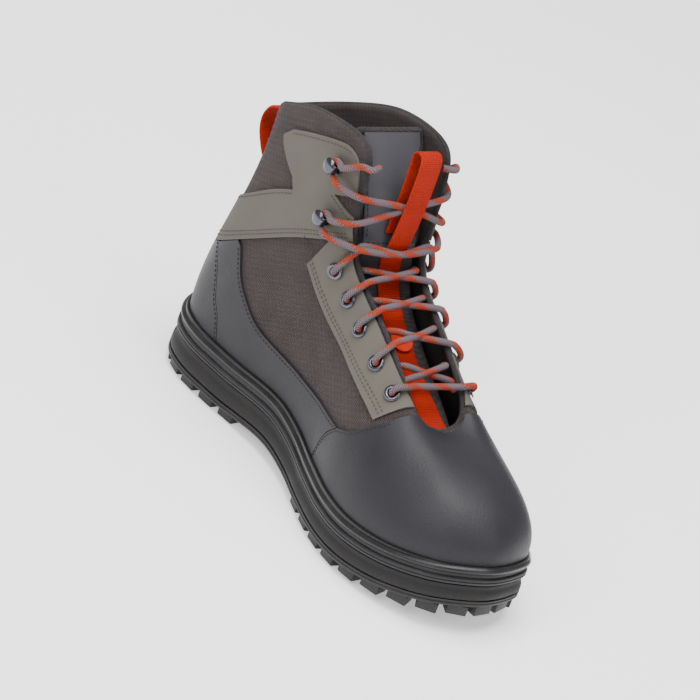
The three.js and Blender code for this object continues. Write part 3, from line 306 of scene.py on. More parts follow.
class Finish:
    """A material under construction: its shader, and one way to add any node."""

    def __init__(self, name, **shader):
        self.material = bpy.data.materials.new(name)
        self.material.use_nodes = True
        self.tree = self.material.node_tree
        self.shader = next(n for n in self.tree.nodes if n.type == "BSDF_PRINCIPLED")
        for socket, value in shader.items():
            self.shader.inputs[socket.replace("_", " ")].default_value = value

    def node(self, kind, settings, values, output=0):
        made = self.tree.nodes.new(kind)
        for key, value in settings.items():
            setattr(made, key, value)
        for key, value in values.items():
            socket = made.inputs[key]
            if isinstance(value, Wire):
                self.tree.links.new(value.socket, socket)
            else:
                socket.default_value = value
        return Wire(self, made.outputs[output])

    def place(self, uv=False):
        return self.node("ShaderNodeTexCoord", {}, {}, "UV" if uv else "Object")

    def axes(self, uv=False):
        split = self.node("ShaderNodeSeparateXYZ", {}, {0: self.place(uv)})
        return [Wire(self, s) for s in split.socket.node.outputs]

    def noise(self, scale, detail=3.0):
        values = {"Vector": self.place(), "Scale": scale, "Detail": detail, "Roughness": 0.55}
        return self.node("ShaderNodeTexNoise", {}, values)

    def cells(self, scale):
        values = {"Vector": self.place(), "Scale": scale}
        return self.node("ShaderNodeTexVoronoi", {"feature": "SMOOTH_F1"}, values)

    def mix(self, share, first, second):
        values = {0: share, 6: first, 7: second}
        return self.node("ShaderNodeMix", {"data_type": "RGBA"}, values, 2)

    def stretch(self, value, low, high, to_low=0.0, to_high=1.0):
        values = {0: value, 1: low, 2: high, 3: to_low, 4: to_high}
        return self.node("ShaderNodeMapRange", {"clamp": True}, values)

    def bump(self, height, distance, strength):
        values = {"Height": height, "Distance": distance, "Strength": strength}
        return self.node("ShaderNodeBump", {}, values)

    def wear(self, **links):
        for socket, wire in links.items():
            self.tree.links.new(wire.socket, self.shader.inputs[socket.replace("_", " ")])
        return self.material


def shade(hex_colour, light=1.0):
    """A colour written as a painter's hex code, in the linear numbers that a shader wants."""
    parts = [int(hex_colour[i : i + 2], 16) / 255 for i in (0, 2, 4)]
    linear = [p / 12.92 if p <= 0.04045 else ((p + 0.055) / 1.055) ** 2.4 for p in parts]
    return (*[min(1.0, p * light) for p in linear], 1.0)


print("shader helpers ready")

# %% [markdown]
# The finishes. The foot's overlays are a coated synthetic with a fine pebbled grain and a low
# sheen, so its bump comes from small cells with a soft noise over them. The ankle band and the
# eyelet facings are brushed nubuck, which is matt and slightly mottled.

# %% Leather finishes
TAU = 2 * math.pi


def grained(name, colour, grain, depth, rough, mottle, sheen):
    finish = Finish(name, Sheen_Weight=sheen, Sheen_Roughness=0.5, Specular_IOR_Level=0.24)
    cells = finish.cells(grain)
    clouds = finish.noise(38.0, 4.0)
    fine = finish.noise(grain * 2.2, 2.0)
    tone = (clouds - 0.5) * mottle + (fine - 0.5) * mottle * 0.5 + 0.5
    colours = finish.mix(tone.kept(), shade(colour, 0.8), shade(colour, 1.22))
    height = cells * 0.7 + fine * 0.3
    roughness = finish.stretch(clouds, 0.3, 0.7, rough - 0.05, rough + 0.06)
    bump = finish.bump(height, depth, 0.8)
    return finish.wear(Base_Color=colours, Roughness=roughness, Normal=bump)


CHARCOAL = grained("charcoal_synthetic", "252428", 900.0, 0.00018, 0.5, 0.8, 0.0)
NUBUCK = grained("sage_nubuck", "56524b", 1500.0, 0.00012, 0.78, 0.9, 0.0)
FACING = grained("tongue_facing", "3e3d42", 1000.0, 0.0001, 0.6, 0.6, 0.03)
print("leathers:", CHARCOAL.name, NUBUCK.name, FACING.name)

# %% [markdown]
# The quarters and the collar are a coarse woven mesh. Its threads cross in two directions, and the
# product of two waves gives the little humps where they pass over each other. The same humps set
# the colour too: painted highlight on each hump and painted shade in the hollows between threads.
# The pattern reads the distance along the boot and up it, with some of Y mixed in so that it doesn't
# smear where the cloth turns round the heel.

# %% Woven finishes
SLANT = 0.22  # the threads' slope in side view
TURN_UP, TURN_ALONG = 0.3, 0.8  # the share of Y that carries the threads round the heel


# light and dark set the brightness of the painted highlight on the thread humps and of the painted shade in the
# hollows between them.
def woven(name, colour, across, up, depth, uv=False, light=1.9, dark=0.3, sheen=0.04):
    finish = Finish(
        name, Sheen_Weight=sheen, Sheen_Roughness=0.6, Roughness=0.9, Specular_IOR_Level=0.2
    )
    x, y, z = finish.axes(uv)
    if uv:
        one, two = x * (TAU / up), y * (TAU / across)
    else:
        one = (z + x * SLANT + y * TURN_UP) * (TAU / up)
        two = (x - z * SLANT + y * TURN_ALONG) * (TAU / across)
    over = (one.sine() * two.sine()).size()
    thread = ((one * 0.5).sine() * (two * 0.5).sine()).above(0.0)
    clouds = finish.noise(60.0, 3.0)
    # Painted highlight and painted shade: the tone follows the humps' height, lighter on each hump and darker in
    # the hollows between threads; the clouds are the cloth's own mottle.
    tone = over * 0.6 + thread * 0.12 + clouds * 0.45 - 0.1
    colours = finish.mix(tone.kept(), shade(colour, dark), shade(colour, light))
    return finish.wear(Base_Color=colours, Normal=finish.bump(over + thread * 0.3, depth, 0.9))


ORANGE = "b02306"
MESH = woven("woven_mesh", "3a3231", 0.0027, 0.0021, 0.0006)
LINING = woven("lining_mesh", "2f2b2c", 0.0024, 0.0024, 0.0004)
TONGUE_CLOTH = woven("tongue_fabric", "312d2e", 0.0024, 0.0022, 0.0005)
WEBBING = woven(
    "orange_webbing", ORANGE, 0.0022, 0.0013, 0.0004, uv=True, light=1.25, dark=0.45, sheen=0.0
)
KEEPER_FINISH = woven(
    "orange_rubber", ORANGE, 0.004, 0.004, 0.00008, light=1.05, dark=0.85, sheen=0.0
)
print("cloths:", MESH.name, WEBBING.name)

# %% [markdown]
# The lace is a round braid. Read along and round it, two sets of diagonal strands cross, and a few
# of them are orange for a stretch of about a centimetre, which gives the flecks. Each strand is
# painted lighter on its crown and darker where it dips, a painted highlight and painted shade.

# %% Lace finish
BRAID_PITCH = 2.6 * MM
FLECK_PITCH = 20.5 * MM
STRANDS = 3


def braided():
    finish = Finish("braided_cord", Roughness=0.85, Specular_IOR_Level=0.25)
    along, turns, _ = finish.axes(uv=True)
    left = (along * (TAU / BRAID_PITCH) + turns * (TAU * STRANDS)).sine()
    right = (along * (TAU / BRAID_PITCH) - turns * (TAU * STRANDS)).sine()
    braid = (left * right).size()
    fleck = (along * (TAU / FLECK_PITCH) + turns * TAU + right * 0.5).sine().above(0.3)
    # Painted highlight and painted shade: grey and orange both go lighter on each strand's crown and darker
    # where it dips, following the bump's height.
    grey = finish.mix(braid, shade("453b40"), shade("7a6d72"))
    orange = finish.mix(braid, shade("742412"), shade("a8442e"))
    colours = finish.mix(fleck, grey, orange)
    return finish.wear(Base_Color=colours, Normal=finish.bump(braid, 0.00035, 0.9))


LACE_BRAID = braided()
print("lace finish:", LACE_BRAID.name)

# %% [markdown]
# The sole is black rubber with a foam layer between. Rubber is smooth with a dull shine and a
# little dust. Foam has a fine skin of closed bubbles. The hardware is dark plated steel.

# %% Rubber and metal finishes


def rubber(name, colour, rough, grain, depth, dust=0.12):
    finish = Finish(name, Specular_IOR_Level=0.25)
    fine, clouds = finish.noise(grain, 3.0), finish.noise(45.0, 5.0)
    tone = finish.stretch(clouds, 0.45, 0.75) * dust + fine * 0.08
    colours = finish.mix(tone.kept(), shade(colour), shade("8b8782"))
    roughness = finish.stretch(clouds, 0.3, 0.7, rough - 0.08, rough + 0.1)
    bump = finish.bump(fine, depth, 0.6)
    return finish.wear(Base_Color=colours, Roughness=roughness, Normal=bump)


RUBBER = rubber("black_rubber", "111013", 0.5, 1400.0, 0.0001, 0.06)
WELT_RUBBER = rubber("welt_rubber", "0f0e11", 0.3, 900.0, 0.00004, 0.03)
FOAM = rubber("foam", "0b0a0c", 0.66, 2600.0, 0.00014, 0.03)
LEDGE = rubber("grey_rubber", "1b1a1e", 0.5, 1200.0, 0.00008, 0.05)


def plated():
    finish = Finish("gunmetal", Metallic=1.0)
    scratch, clouds = finish.noise(700.0, 2.0), finish.noise(120.0, 3.0)
    colours = finish.mix(clouds, shade("3a3a42"), shade("6c6c76"))
    return finish.wear(Base_Color=colours, Roughness=finish.stretch(scratch, 0.3, 0.7, 0.2, 0.34))


STEEL = plated()


def thread(name, colour):
    finish = Finish(name, Roughness=0.7, Specular_IOR_Level=0.3)
    colours = finish.mix(finish.noise(1800.0), shade(colour, 0.8), shade(colour, 1.25))
    return finish.wear(Base_Color=colours)


DARK_THREAD = thread("dark_thread", "1b1b20")
SAGE_THREAD = thread("sage_thread", "3b3832")
print("rubber and metal:", RUBBER.name, STEEL.name)

# %% [markdown]
# Pieces that follow the last are grids of points, and most of them are made the same way: rings of
# points joined to the next ring. A ring closes on itself, and the first and last rings are shut by
# strips between their opposite points.

# %% Ring pieces


def choose(*objects):
    """Selects these objects alone and makes the first one active."""
    bpy.ops.object.select_all(action="DESELECT")
    for obj in objects:
        obj.select_set(True)
    bpy.context.view_layer.objects.active = objects[0]


def finish_piece(obj, material, node_names, smooth_angle=40):
    """Gives a piece its material, its place in the frame and its smooth shading."""
    obj.data.materials.clear()
    obj.data.materials.append(material)
    choose(obj)
    bpy.ops.object.shade_smooth_by_angle(angle=math.radians(smooth_angle))
    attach(obj, "root")
    if node_names:
        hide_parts(*node_names)
    return obj


def copied(model, matrix):
    copy = model.copy()
    copy.data = model.data.copy()
    copy.data.transform(matrix)
    bpy.context.collection.objects.link(copy)
    return copy


def join_pieces(pieces, name):
    choose(*pieces)
    bpy.ops.object.join()
    pieces[0].name = name
    return pieces[0]


def mesh_piece(name, points, faces, uvs=None):
    data = bpy.data.meshes.new(name)
    data.from_pydata([tuple(p) for p in points], [], faces)
    if uvs:
        layer = data.uv_layers.new(name="UVMap")
        for loop in data.loops:
            layer.data[loop.index].uv = uvs[loop.vertex_index]
    data.validate()
    data.update()
    obj = bpy.data.objects.new(name, data)
    bpy.context.collection.objects.link(obj)
    return obj


def rings_piece(name, rings, closed, uvs=None):
    count, total = len(rings[0]), len(rings)
    faces = []
    for i in range(total if closed else total - 1):
        for j in range(count):
            a, b = i * count, ((i + 1) % total) * count
            faces.append((a + j, b + j, b + (j + 1) % count, a + (j + 1) % count))
    if not closed:
        end = (total - 1) * count
        for j in range(count // 2 - 1):
            k = count - 1 - j
            faces.append((j, j + 1, k - 1, k))
            faces.append((end + j, end + k, end + k - 1, end + j + 1))
    return mesh_piece(name, [p for ring in rings for p in ring], faces, uvs)


def spline(a, b, c, d, f):
    """The value part way from b to c, on a curve that runs smoothly through all four."""
    return 0.5 * (
        2 * b + (c - a) * f + (2 * a - 5 * b + 4 * c - d) * f**2 + (3 * b - a - 3 * c + d) * f**3
    )


def curve_through(points, steps):
    """A smooth line through its points, with the given number of steps between each two."""
    out, last = [], len(points) - 1
    for i in range(last):
        four = [points[min(max(k, 0), last)] for k in (i - 1, i, i + 1, i + 2)]
        out += [spline(*four, k / steps) for k in range(steps)]
    return out + [points[-1].copy()]


print("ring helpers ready")

# %% [markdown]
# The sole's layers are rings round the true outline, stacked from the ground up. The midsole is
# pinched below its top edge, and the ledge above it has two grooves pressed into its side.

# %% Sole layers
SOLE_STEPS = 90
HALF_RING = [(i + 0.5) / SOLE_STEPS * LAST_STATION for i in range(SOLE_STEPS)]
SOLE_PLACES = HALF_RING + [ROUND - p for p in reversed(HALF_RING)]
MIDSOLE_SIDE = [  # inset in millimetres, share of the layer's height
    (1.3, 0.03), (0.7, 0.05), (0.2, 0.1), (0.0, 0.2), (0.2, 0.4), (0.9, 0.58),
    (1.5, 0.7), (1.6, 0.8), (1.3, 0.92), (1.5, 0.98), (2.2, 1.0),
]
LEDGE_SIDE = [  # inset and height over the midsole, in millimetres
    (2.2, 0.3), (1.2, 0.45), (0.35, 0.9), (0.0, 1.6), (0.0, 2.2), (0.5, 2.45), (0.5, 2.75),
    (0.0, 3.0), (0.0, 3.7), (0.3, 4.4), (1.1, 4.9), (1.7, 5.2), (1.5, 5.6),
]
LEDGE_EDGE = [(1.5, -0.6), (1.9, 0.0), (2.6, 0.0)]


def sole_layer(name, rings):
    loops = []
    for inset, heel, toe in rings:
        flat = [inset_edge(place, inset) for place in SOLE_PLACES]
        loops.append([Vector((p.x, p.y, level(p.x, heel, toe))) for p in flat])
    return rings_piece(name, loops[::-1], False)


def stacked(heel, toe, rows):
    return [(inset * MM, heel + up * MM, toe + up * MM) for inset, up in rows]


midsole_rows = [
    (inset * MM, *[OUTSOLE_TOP + (top - OUTSOLE_TOP) * share for top in MIDSOLE_TOP])
    for inset, share in MIDSOLE_SIDE
]
midsole = sole_layer("midsole_foam", midsole_rows)
finish_piece(midsole, FOAM, ["midsole"])

ledge_rows = stacked(*MIDSOLE_TOP, LEDGE_SIDE) + stacked(*FOXING_TOP, LEDGE_EDGE)
ledge = sole_layer("foxing_ledge", ledge_rows)
finish_piece(ledge, LEDGE, ["foxing"])
print("sole layers:", len(midsole.data.polygons), len(ledge.data.polygons))

# %% [markdown]
# The outsole is a plate with lugs. Each hexagonal lug is a six-sided cylinder whose foot is
# bevelled in edit mode and whose face is inset and pushed in for the stud's seat. One big and one
# small lug are modelled, and each copy is set down on the curved plate where its neighbours leave
# room for it. The bars round the edge are boxes, bevelled the same way.

# %% Outsole
LUG_PITCH = 20 * MM
LUG_ROWS = SOLE_LENGTH * 0.0994
LUG_START = SOLE_LENGTH * 0.4 - HEEL_BACK
HEEL_PAIR = SOLE_LENGTH * 0.0545
ARCH_PAIR = SOLE_LENGTH * 0.1058
BIG_LUG, SMALL_LUG = 17 * MM, 9 * MM
LUG_HEIGHT = LUG_DEPTH + 1.2 * MM  # it reaches this much up into the plate
LUG_ROOM = 11 * MM
SEAT_DEPTH = 1.8 * MM
LUG_BEVEL, BAR_BEVEL = 0.6 * MM, 0.7 * MM
BAR_SIZE = (12.5 * MM, 10 * MM)
BAR_PITCH, BAR_INSET = 18 * MM, 7 * MM
BARE_WAIST = (6.5, 9.3)  # no bar stands between these stations
WALK_STEP = 0.02
SIXTH = math.pi / 6
PLATE_SIDE = [  # inset and height, in millimetres
    (3.5, 5), (1.5, 5), (0.5, 5.3), (0.0, 6.0), (0.0, 7.0), (0.35, 7.2),
    (0.35, 7.6), (0.0, 7.8), (0.0, 8.6), (0.4, 9.0), (1.5, 9.0),
]


def edit_start(obj):
    choose(obj)
    bpy.ops.object.mode_set(mode="EDIT")
    bpy.ops.mesh.select_all(action="DESELECT")
    bpy.ops.mesh.select_mode(type="FACE")
    return bmesh.from_edit_mesh(obj.data)


def edit_end(obj):
    bmesh.update_edit_mesh(obj.data)
    bpy.ops.object.mode_set(mode="OBJECT")
    return obj


def select_faces(obj, test):
    mesh = bmesh.from_edit_mesh(obj.data)
    for face in mesh.faces:
        face.select = test(face)
    mesh.select_flush(True)
    bmesh.update_edit_mesh(obj.data)


def bevel_edges(obj, test, width):
    mesh = edit_start(obj)
    bpy.ops.mesh.select_mode(type="EDGE")
    for edge in mesh.edges:
        edge.select = test(edge)
    bmesh.update_edit_mesh(obj.data)
    bpy.ops.mesh.bevel(offset=width, segments=2, affect="EDGES")
    return edit_end(obj)


def hex_lug(width, seat):
    radius = width / 2 / math.cos(SIXTH)
    bpy.ops.mesh.primitive_cone_add(
        vertices=6, radius1=radius * 0.9, radius2=radius, depth=LUG_HEIGHT,
        location=(0, 0, LUG_HEIGHT / 2),
    )
    lug = bpy.context.object
    bpy.ops.object.transform_apply(location=True, rotation=True, scale=True)
    if seat:
        edit_start(lug)
        select_faces(lug, lambda face: face.normal.z < -0.9)
        bpy.ops.mesh.inset(thickness=radius * 0.52)
        bpy.ops.mesh.extrude_region_move(TRANSFORM_OT_translate={"value": (0, 0, SEAT_DEPTH)})
        edit_end(lug)

    def outer_edge(edge):
        a, b = [v.co for v in edge.verts]
        low = a.z + b.z < 0.2 * MM and min(a.xy.length, b.xy.length) > radius * 0.6
        return low or abs(a.z - b.z) > LUG_HEIGHT * 0.8

    return bevel_edges(lug, outer_edge, LUG_BEVEL)


def bar_lug(long, deep):
    bpy.ops.mesh.primitive_cube_add(size=1, location=(0, 0, LUG_HEIGHT / 2))
    bar = bpy.context.object
    bar.scale = (long, deep, LUG_HEIGHT)
    bpy.ops.object.transform_apply(location=True, rotation=True, scale=True)
    lowest = LUG_HEIGHT * 0.9
    return bevel_edges(bar, lambda edge: min(v.co.z for v in edge.verts) < lowest, BAR_BEVEL)


def nearest_edge(x, y):
    return min((sole_edge(k / 4) - Vector((x, y))).length for k in range(ROUND * 4))


def put_lug(model, x, y, angle):
    lugs.append(copied(model, Matrix.Translation((x, y, rise(x))) @ Matrix.Rotation(angle, 4, "Z")))


big_lug, small_lug = hex_lug(BIG_LUG, True), hex_lug(SMALL_LUG, False)
plain_lug, edge_bar = hex_lug(BIG_LUG, False), bar_lug(*BAR_SIZE)
lugs = []
put_lug(plain_lug, 0, 0, SIXTH)
for side in (-1, 1):
    put_lug(big_lug, HEEL_PAIR, side * LUG_PITCH * 0.85, SIXTH)
    put_lug(small_lug, ARCH_PAIR, side * LUG_PITCH * 0.5, SIXTH)
for row in range(5):
    for across in range(-2, 3):
        x, y = LUG_START + row * LUG_ROWS, across * LUG_PITCH
        model, width = (big_lug, BIG_LUG) if (row + across) % 2 == 0 else (small_lug, SMALL_LUG)
        if nearest_edge(x, y) - width / 2 > LUG_ROOM:
            put_lug(model, x, y, 0)
walked, place = BAR_PITCH / 2, 0.0
while place < ROUND:
    walked += (sole_edge(place) - sole_edge(place + WALK_STEP)).length
    if walked >= BAR_PITCH:
        walked = 0.0
        if not BARE_WAIST[0] < station_of(place)[0] < BARE_WAIST[1]:
            middle, out = inset_edge(place, BAR_INSET), edge_out(place)
            put_lug(edge_bar, middle.x, middle.y, math.atan2(out.y, out.x) + math.pi / 2)
    place += WALK_STEP
plate = sole_layer("outsole_lugged", stacked(0, 0, PLATE_SIDE))
join_pieces([plate, *lugs], "outsole_lugged")
for model in (big_lug, small_lug, plain_lug, edge_bar):
    bpy.data.objects.remove(model)
finish_piece(plate, RUBBER, ["outsole"], 30)
print("lugs on the outsole:", len(lugs))

# %% [markdown]
# The storm welt is a rubber strip that runs right round the boot where the upper meets the ledge.
# Its section has a wide lip below, a hollow above it and a thin top edge that lies on the leather,
# so it is a closed loop of small rings.

# %% Storm welt
WELT_PLACES = [i / 220 * ROUND for i in range(220)]
WELT_INSIDE = 2 * GAP + OVERLAY_THICK
WELT_LIP = [(-0.3, 0.0), (0.0, 0.5), (0.1, 1.4), (-0.3, 2.2), (-1.0, 2.6)]  # out and up from it
WELT_HOLLOW = (2.2, 3.0)
WELT_TOP = [(1.5, -0.9), (1.3, -0.2), (0.7, 0.0)]


def level_on(place, height):
    """How far up the last's curve a point stands at this height over the curve's foot."""
    low, high = 0.0, 0.5
    base = last_point(place, 0).z
    for _ in range(24):
        half = (low + high) / 2
        low, high = (half, high) if last_point(place, half).z - base < height else (low, half)
    return low


def welt_ring(place):
    out = edge_out(place)
    out = Vector((out.x, out.y, 0))
    foot = last_point(place, 0) + out * WELT_INSIDE
    foot.z = foxing_top(sole_edge(place).x) + FOOT_GAP
    top = off_last(place, level_on(place, WELT_HEIGHT), WELT_INSIDE)
    middle = off_last(place, level_on(place, WELT_HEIGHT * 0.5), WELT_INSIDE)
    lip = foot + out * WELT_WIDTH
    section = [(lip, *spot) for spot in WELT_LIP]
    section += [(foot, *WELT_HOLLOW)] + [(top, *spot) for spot in WELT_TOP]
    ring = [p + out * (side * MM) + Vector((0, 0, up * MM)) for p, side, up in section]
    return ring + [top, middle, foot]


welt = rings_piece("storm_welt_strip", [welt_ring(p) for p in WELT_PLACES], True)
finish_piece(welt, WELT_RUBBER, ["storm_welt"], 50)
print("storm welt faces:", len(welt.data.polygons))

# %% [markdown]
# The upper is one shell with a real wall. It thickens to a soft padded collar at the ankle, and its
# edge is turned over, so the rim is a few extra rows on a half circle between the two walls.

# %% Upper
UPPER_PLACES = [i / 200 * ROUND for i in range(200)]
LOW_LEVELS = [0, 0.02, 0.05] + [0.05 + 0.75 * i / 22 for i in range(1, 22)]
UPPER_LEVELS = LOW_LEVELS + [0.8 + 0.18 * i / 32 for i in range(33)]
RIM_TURN = (0.35, 0.8, 1.25, math.pi / 2, 1.9, 2.35, 2.8)
RIB_START, RIB_PITCH, RIB_HEIGHT = 0.83, 0.0235, 0.45 * MM


def wall_at(place, t):
    at, _ = station_of(place)
    return UPPER_WALL + COLLAR_PAD * smooth(at, 9.8, 12) * smooth(t, 0.55, 0.9)


def collar_rib(place, t):
    """The padded collar is quilted in ribs that run along its edge."""
    at, _ = station_of(place)
    share = smooth(at, 9.2, 10.2) * smooth(t, RIB_START, 0.85) * (1 - smooth(t, 0.955, 0.975))
    return RIB_HEIGHT * share * abs(math.sin(math.pi * (t - RIB_START) / RIB_PITCH))


def upper_ring(place):
    outside = [off_last(place, t, collar_rib(place, t)) for t in UPPER_LEVELS]
    inside = [off_last(place, t, -wall_at(place, t)) for t in reversed(UPPER_LEVELS)]
    end, back_end = off_last(place, 1, 0.0), off_last(place, 1, -wall_at(place, 1))
    middle, across = (end + back_end) / 2, (end - back_end) / 2
    reach = min(across.length, (end - outside[-1]).length)
    up = (end - outside[-1]).normalized()
    turned = [
        middle + across * math.cos(a) + up * (reach * (math.sin(a) - 1)) for a in RIM_TURN
    ]
    return outside + turned + inside


upper = rings_piece("upper_shell", [upper_ring(p) for p in UPPER_PLACES], True)
finish_piece(upper, MESH, ["upper"], 60)
print("upper faces:", len(upper.data.polygons), "wall at the heel:", round(wall_at(LAST_STATION, 1), 4))

# %% [markdown]
# The overlays are cut from sheets that follow the last. Each outline is drawn in side view, as a
# pattern cutter draws it: how far along the boot, and how high. A smooth line is run through its
# points, pushed straight through the boot as a prism, and a Boolean keeps the part of the sheet
# inside it. A sheet is thinner than two millimetres, so both its walls are cut together.

# %% Outlines of the overlays
OUTLINE_STEPS = 6
SEAM_GAP = 2 * GAP


def drawn(*points):
    line = [Vector((a * SOLE_LENGTH - HEEL_BACK, 0, h * COLLAR_HEIGHT)) for a, h in points]
    return curve_through(line, OUTLINE_STEPS) if len(line) > 2 else line


def moved(line, along, up):
    return [p + Vector((along, 0, up)) for p in line]


def corner(along, up):
    return [Vector((along, 0, up))]


def share_along(p):
    return (p.x + HEEL_BACK) / SOLE_LENGTH


BAND_BOTTOM = drawn((-0.06, 0.29), (0.08, 0.405), (0.2, 0.525), (0.31, 0.635), (0.43, 0.735))
BAND_TOP = drawn((0.25, 0.735), (0.2, 0.69), (0.12, 0.6), (0.03, 0.51), (-0.06, 0.44))
FLAP_FRONT = drawn((0.43, 0.795), (0.357, 0.82)) + drawn((0.43, 0.875), (0.42, 0.95))
FLAP_TOP = drawn((0.381, 0.965), (0.35, 0.966), (0.309, 0.952), (0.242, 0.913), (0.185, 0.872))
FLAP_BACK = drawn((0.16, 0.835), (0.17, 0.815), (0.2, 0.79), (0.235, 0.765))
NOTCH = drawn((0.35, 0.822), (0.43, 0.795))
RAND_TOP = drawn(
    (0.134, 0.53), (0.176, 0.474), (0.212, 0.4), (0.249, 0.353), (0.292, 0.316),
    (0.35, 0.302), (0.46, 0.294), (0.544, 0.299), (0.612, 0.302),
)[OUTLINE_STEPS:]
CAP_TOP = drawn((0.612, 0.302), (0.65, 0.329), (0.674, 0.365), (0.7, 0.407), (0.714, 0.444))
CAP_SEAM = drawn((0.612, 0.302), (0.582, 0.24), (0.555, 0.08))
COUNTER_FRONT = drawn((0.1, 0.42), (0.134, 0.367), (0.165, 0.29), (0.19, 0.235), (0.22, 0.08))
STAY_BACK = drawn((0.317, 0.64), (0.366, 0.588), (0.439, 0.508), (0.546, 0.454), (0.676, 0.396))
STAY_BOTTOM = drawn((0.694, 0.434), (0.701, 0.456))
ABOVE = COLLAR_HEIGHT * 1.1
BEHIND = -0.09
BAND_BACK = [p for p in BAND_BOTTOM if share_along(p) < 0.085]
BAND_MIDDLE = [p for p in BAND_BOTTOM if 0.102 < share_along(p) < 0.17]
BAND_FRONT = [p for p in BAND_BOTTOM if share_along(p) > 0.308]

CUTS = {
    "toe_cap": moved(CAP_SEAM[::-1], GAP, 0) + CAP_TOP[1:] + corner(CAP_TOP[-1].x, ABOVE)
    + corner(SOLE_LENGTH, ABOVE) + corner(SOLE_LENGTH, 0),
    "rand": moved(CAP_SEAM, -GAP, 0) + moved(COUNTER_FRONT[::-1], GAP, 0)
    + moved(BAND_MIDDLE, 0, -SEAM_GAP) + RAND_TOP[:-1],
    "heel_counter": moved(COUNTER_FRONT, -GAP, 0) + corner(BEHIND, 0)
    + moved(BAND_BACK, 0, -SEAM_GAP),
    "ankle_band": BAND_BOTTOM + FLAP_FRONT + FLAP_TOP + FLAP_BACK + BAND_TOP,
    "eyestay": moved(STAY_BACK, 0, -SEAM_GAP) + moved(STAY_BOTTOM, -SEAM_GAP, GAP)
    + corner(STAY_BOTTOM[-1].x, ABOVE) + corner(BAND_BOTTOM[-1].x, ABOVE)
    + moved(BAND_FRONT[::-1], 0, -SEAM_GAP),
}
print("outline points:", {name: len(line) for name, line in CUTS.items()})

# %% [markdown]
# Each sheet is a grid over the last with two walls, cut by its prism. The alternative is to draw
# every overlay as its own patch, but a sheet can't leave the last, so a cut one always fits. A
# sheet starts and ends on the same stations as the frame's overlay, and the toe cap, the counter
# and the band cross the middle of the boot, so their prisms go through both sides.

# %% Overlay sheets
SHEET_ROWS, SHEET_TOP = 30, 0.96
PRISM_REACH = 0.118
SHEETS = {  # first station, last station, columns, leather and its slot
    "toe_cap": (7.64, 20.36, 130, CHARCOAL, "charcoal_synthetic"),
    "heel_counter": (-5.09, 5.09, 96, CHARCOAL, "charcoal_synthetic"),
    "ankle_band": (-7, 7, 150, NUBUCK, "sage_nubuck"),
    "rand": (1.91, 10.18, 96, CHARCOAL, "charcoal_synthetic"),
    "eyestay": (4.45, 12.09, 84, NUBUCK, "sage_nubuck"),
}


def sheet_over(name, first, last, side, columns):
    levels = [SHEET_TOP * i / SHEET_ROWS for i in range(SHEET_ROWS + 1)]
    rings = []
    for i in range(columns + 1):
        place = first + (last - first) * i / columns
        if side > 0:
            place = ROUND - place
        outside = [off_last(place, t, OVERLAY_TOP) for t in levels]
        rings.append(outside + [off_last(place, t, GAP) for t in reversed(levels)])
    return rings_piece(name, rings[::-1] if side > 0 else rings, False)


def recalculate(obj):
    edit_start(obj)
    bpy.ops.mesh.select_all(action="SELECT")
    bpy.ops.mesh.remove_doubles(threshold=0.000002)
    bpy.ops.mesh.normals_make_consistent(inside=False)
    edit_end(obj)


def side_prism(line, side):
    """The side-view outline, pushed through one side of the boot, or through both for side 0."""
    near, far = sorted((0.0, side * PRISM_REACH)) if side else (-PRISM_REACH, PRISM_REACH)
    count = len(line)
    points = [Vector((p.x, y, p.z)) for y in (near, far) for p in line]
    faces = [tuple(range(count)), tuple(range(2 * count - 1, count - 1, -1))]
    for i in range(count):
        after = (i + 1) % count
        faces.append((i, after, after + count, i + count))
    prism = mesh_piece("side_prism", points, faces)
    recalculate(prism)
    return prism


def keep_inside(obj, prism):
    modifier = obj.modifiers.new("cut", "BOOLEAN")
    modifier.object, modifier.operation, modifier.solver = prism, "INTERSECT", "EXACT"
    choose(obj)
    bpy.ops.object.modifier_apply(modifier=modifier.name)
    bpy.data.objects.remove(prism)


def overlay(name, cut, node, side=0):
    first, last, columns, leather, slot_name = SHEETS[cut]
    sheet = sheet_over(name, first, last, side, columns)
    recalculate(sheet)
    keep_inside(sheet, side_prism(CUTS[cut], side))
    return finish_piece(sheet, leather, [node], 38)


overlays = [
    overlay("toe_cap_leather", "toe_cap", "toe_cap"),
    overlay("heel_counter_leather", "heel_counter", "heel_counter"),
    overlay("ankle_band_nubuck", "ankle_band", "ankle_band"),
]
for side, word in SIDES:
    overlays.append(overlay("rand_leather_" + word, "rand", "rand_" + word, side))
    overlays.append(overlay("eyestay_nubuck_" + word, "eyestay", "eyestay_" + word, side))
print({obj.name: len(obj.data.polygons) for obj in overlays})

# %% [markdown]
# Eyelets and hooks stand on the last at points given in side view. The nearest point of the last is
# found with a KD tree, a quick index of points, and then refined. It also turns any point of an
# outline into a place on the last, which the stitching needs.

# %% Finding a point on the last
GRID = [(i / 8, j / 60) for i in range(ROUND * 8) for j in range(61)]
SEEK_STEPS = (0.06, 0.03, 0.015, 0.006, 0.002)
EYELETS = [(0.664, 0.462), (0.599, 0.498), (0.528, 0.54), (0.471, 0.583), (0.422, 0.633)]
HOOKS = [(0.363, 0.749), (0.338, 0.895)]


def side_tree(side):
    spots = [spot for spot in GRID if station_of(spot[0])[1] == side]
    tree = KDTree(len(spots))
    for index, spot in enumerate(spots):
        p = last_point(*spot)
        tree.insert((p.x, 0, p.z), index)
    tree.balance()
    return tree, spots


SIDE_TREES = {side: side_tree(side) for side, _ in SIDES}


def spots_round(place, t, step):
    shifts = (-1, 0, 1)
    heights = [min(1.0, max(0.0, t + j * step * 0.15)) for j in shifts]
    return [(place + i * step, height) for i in shifts for height in heights]


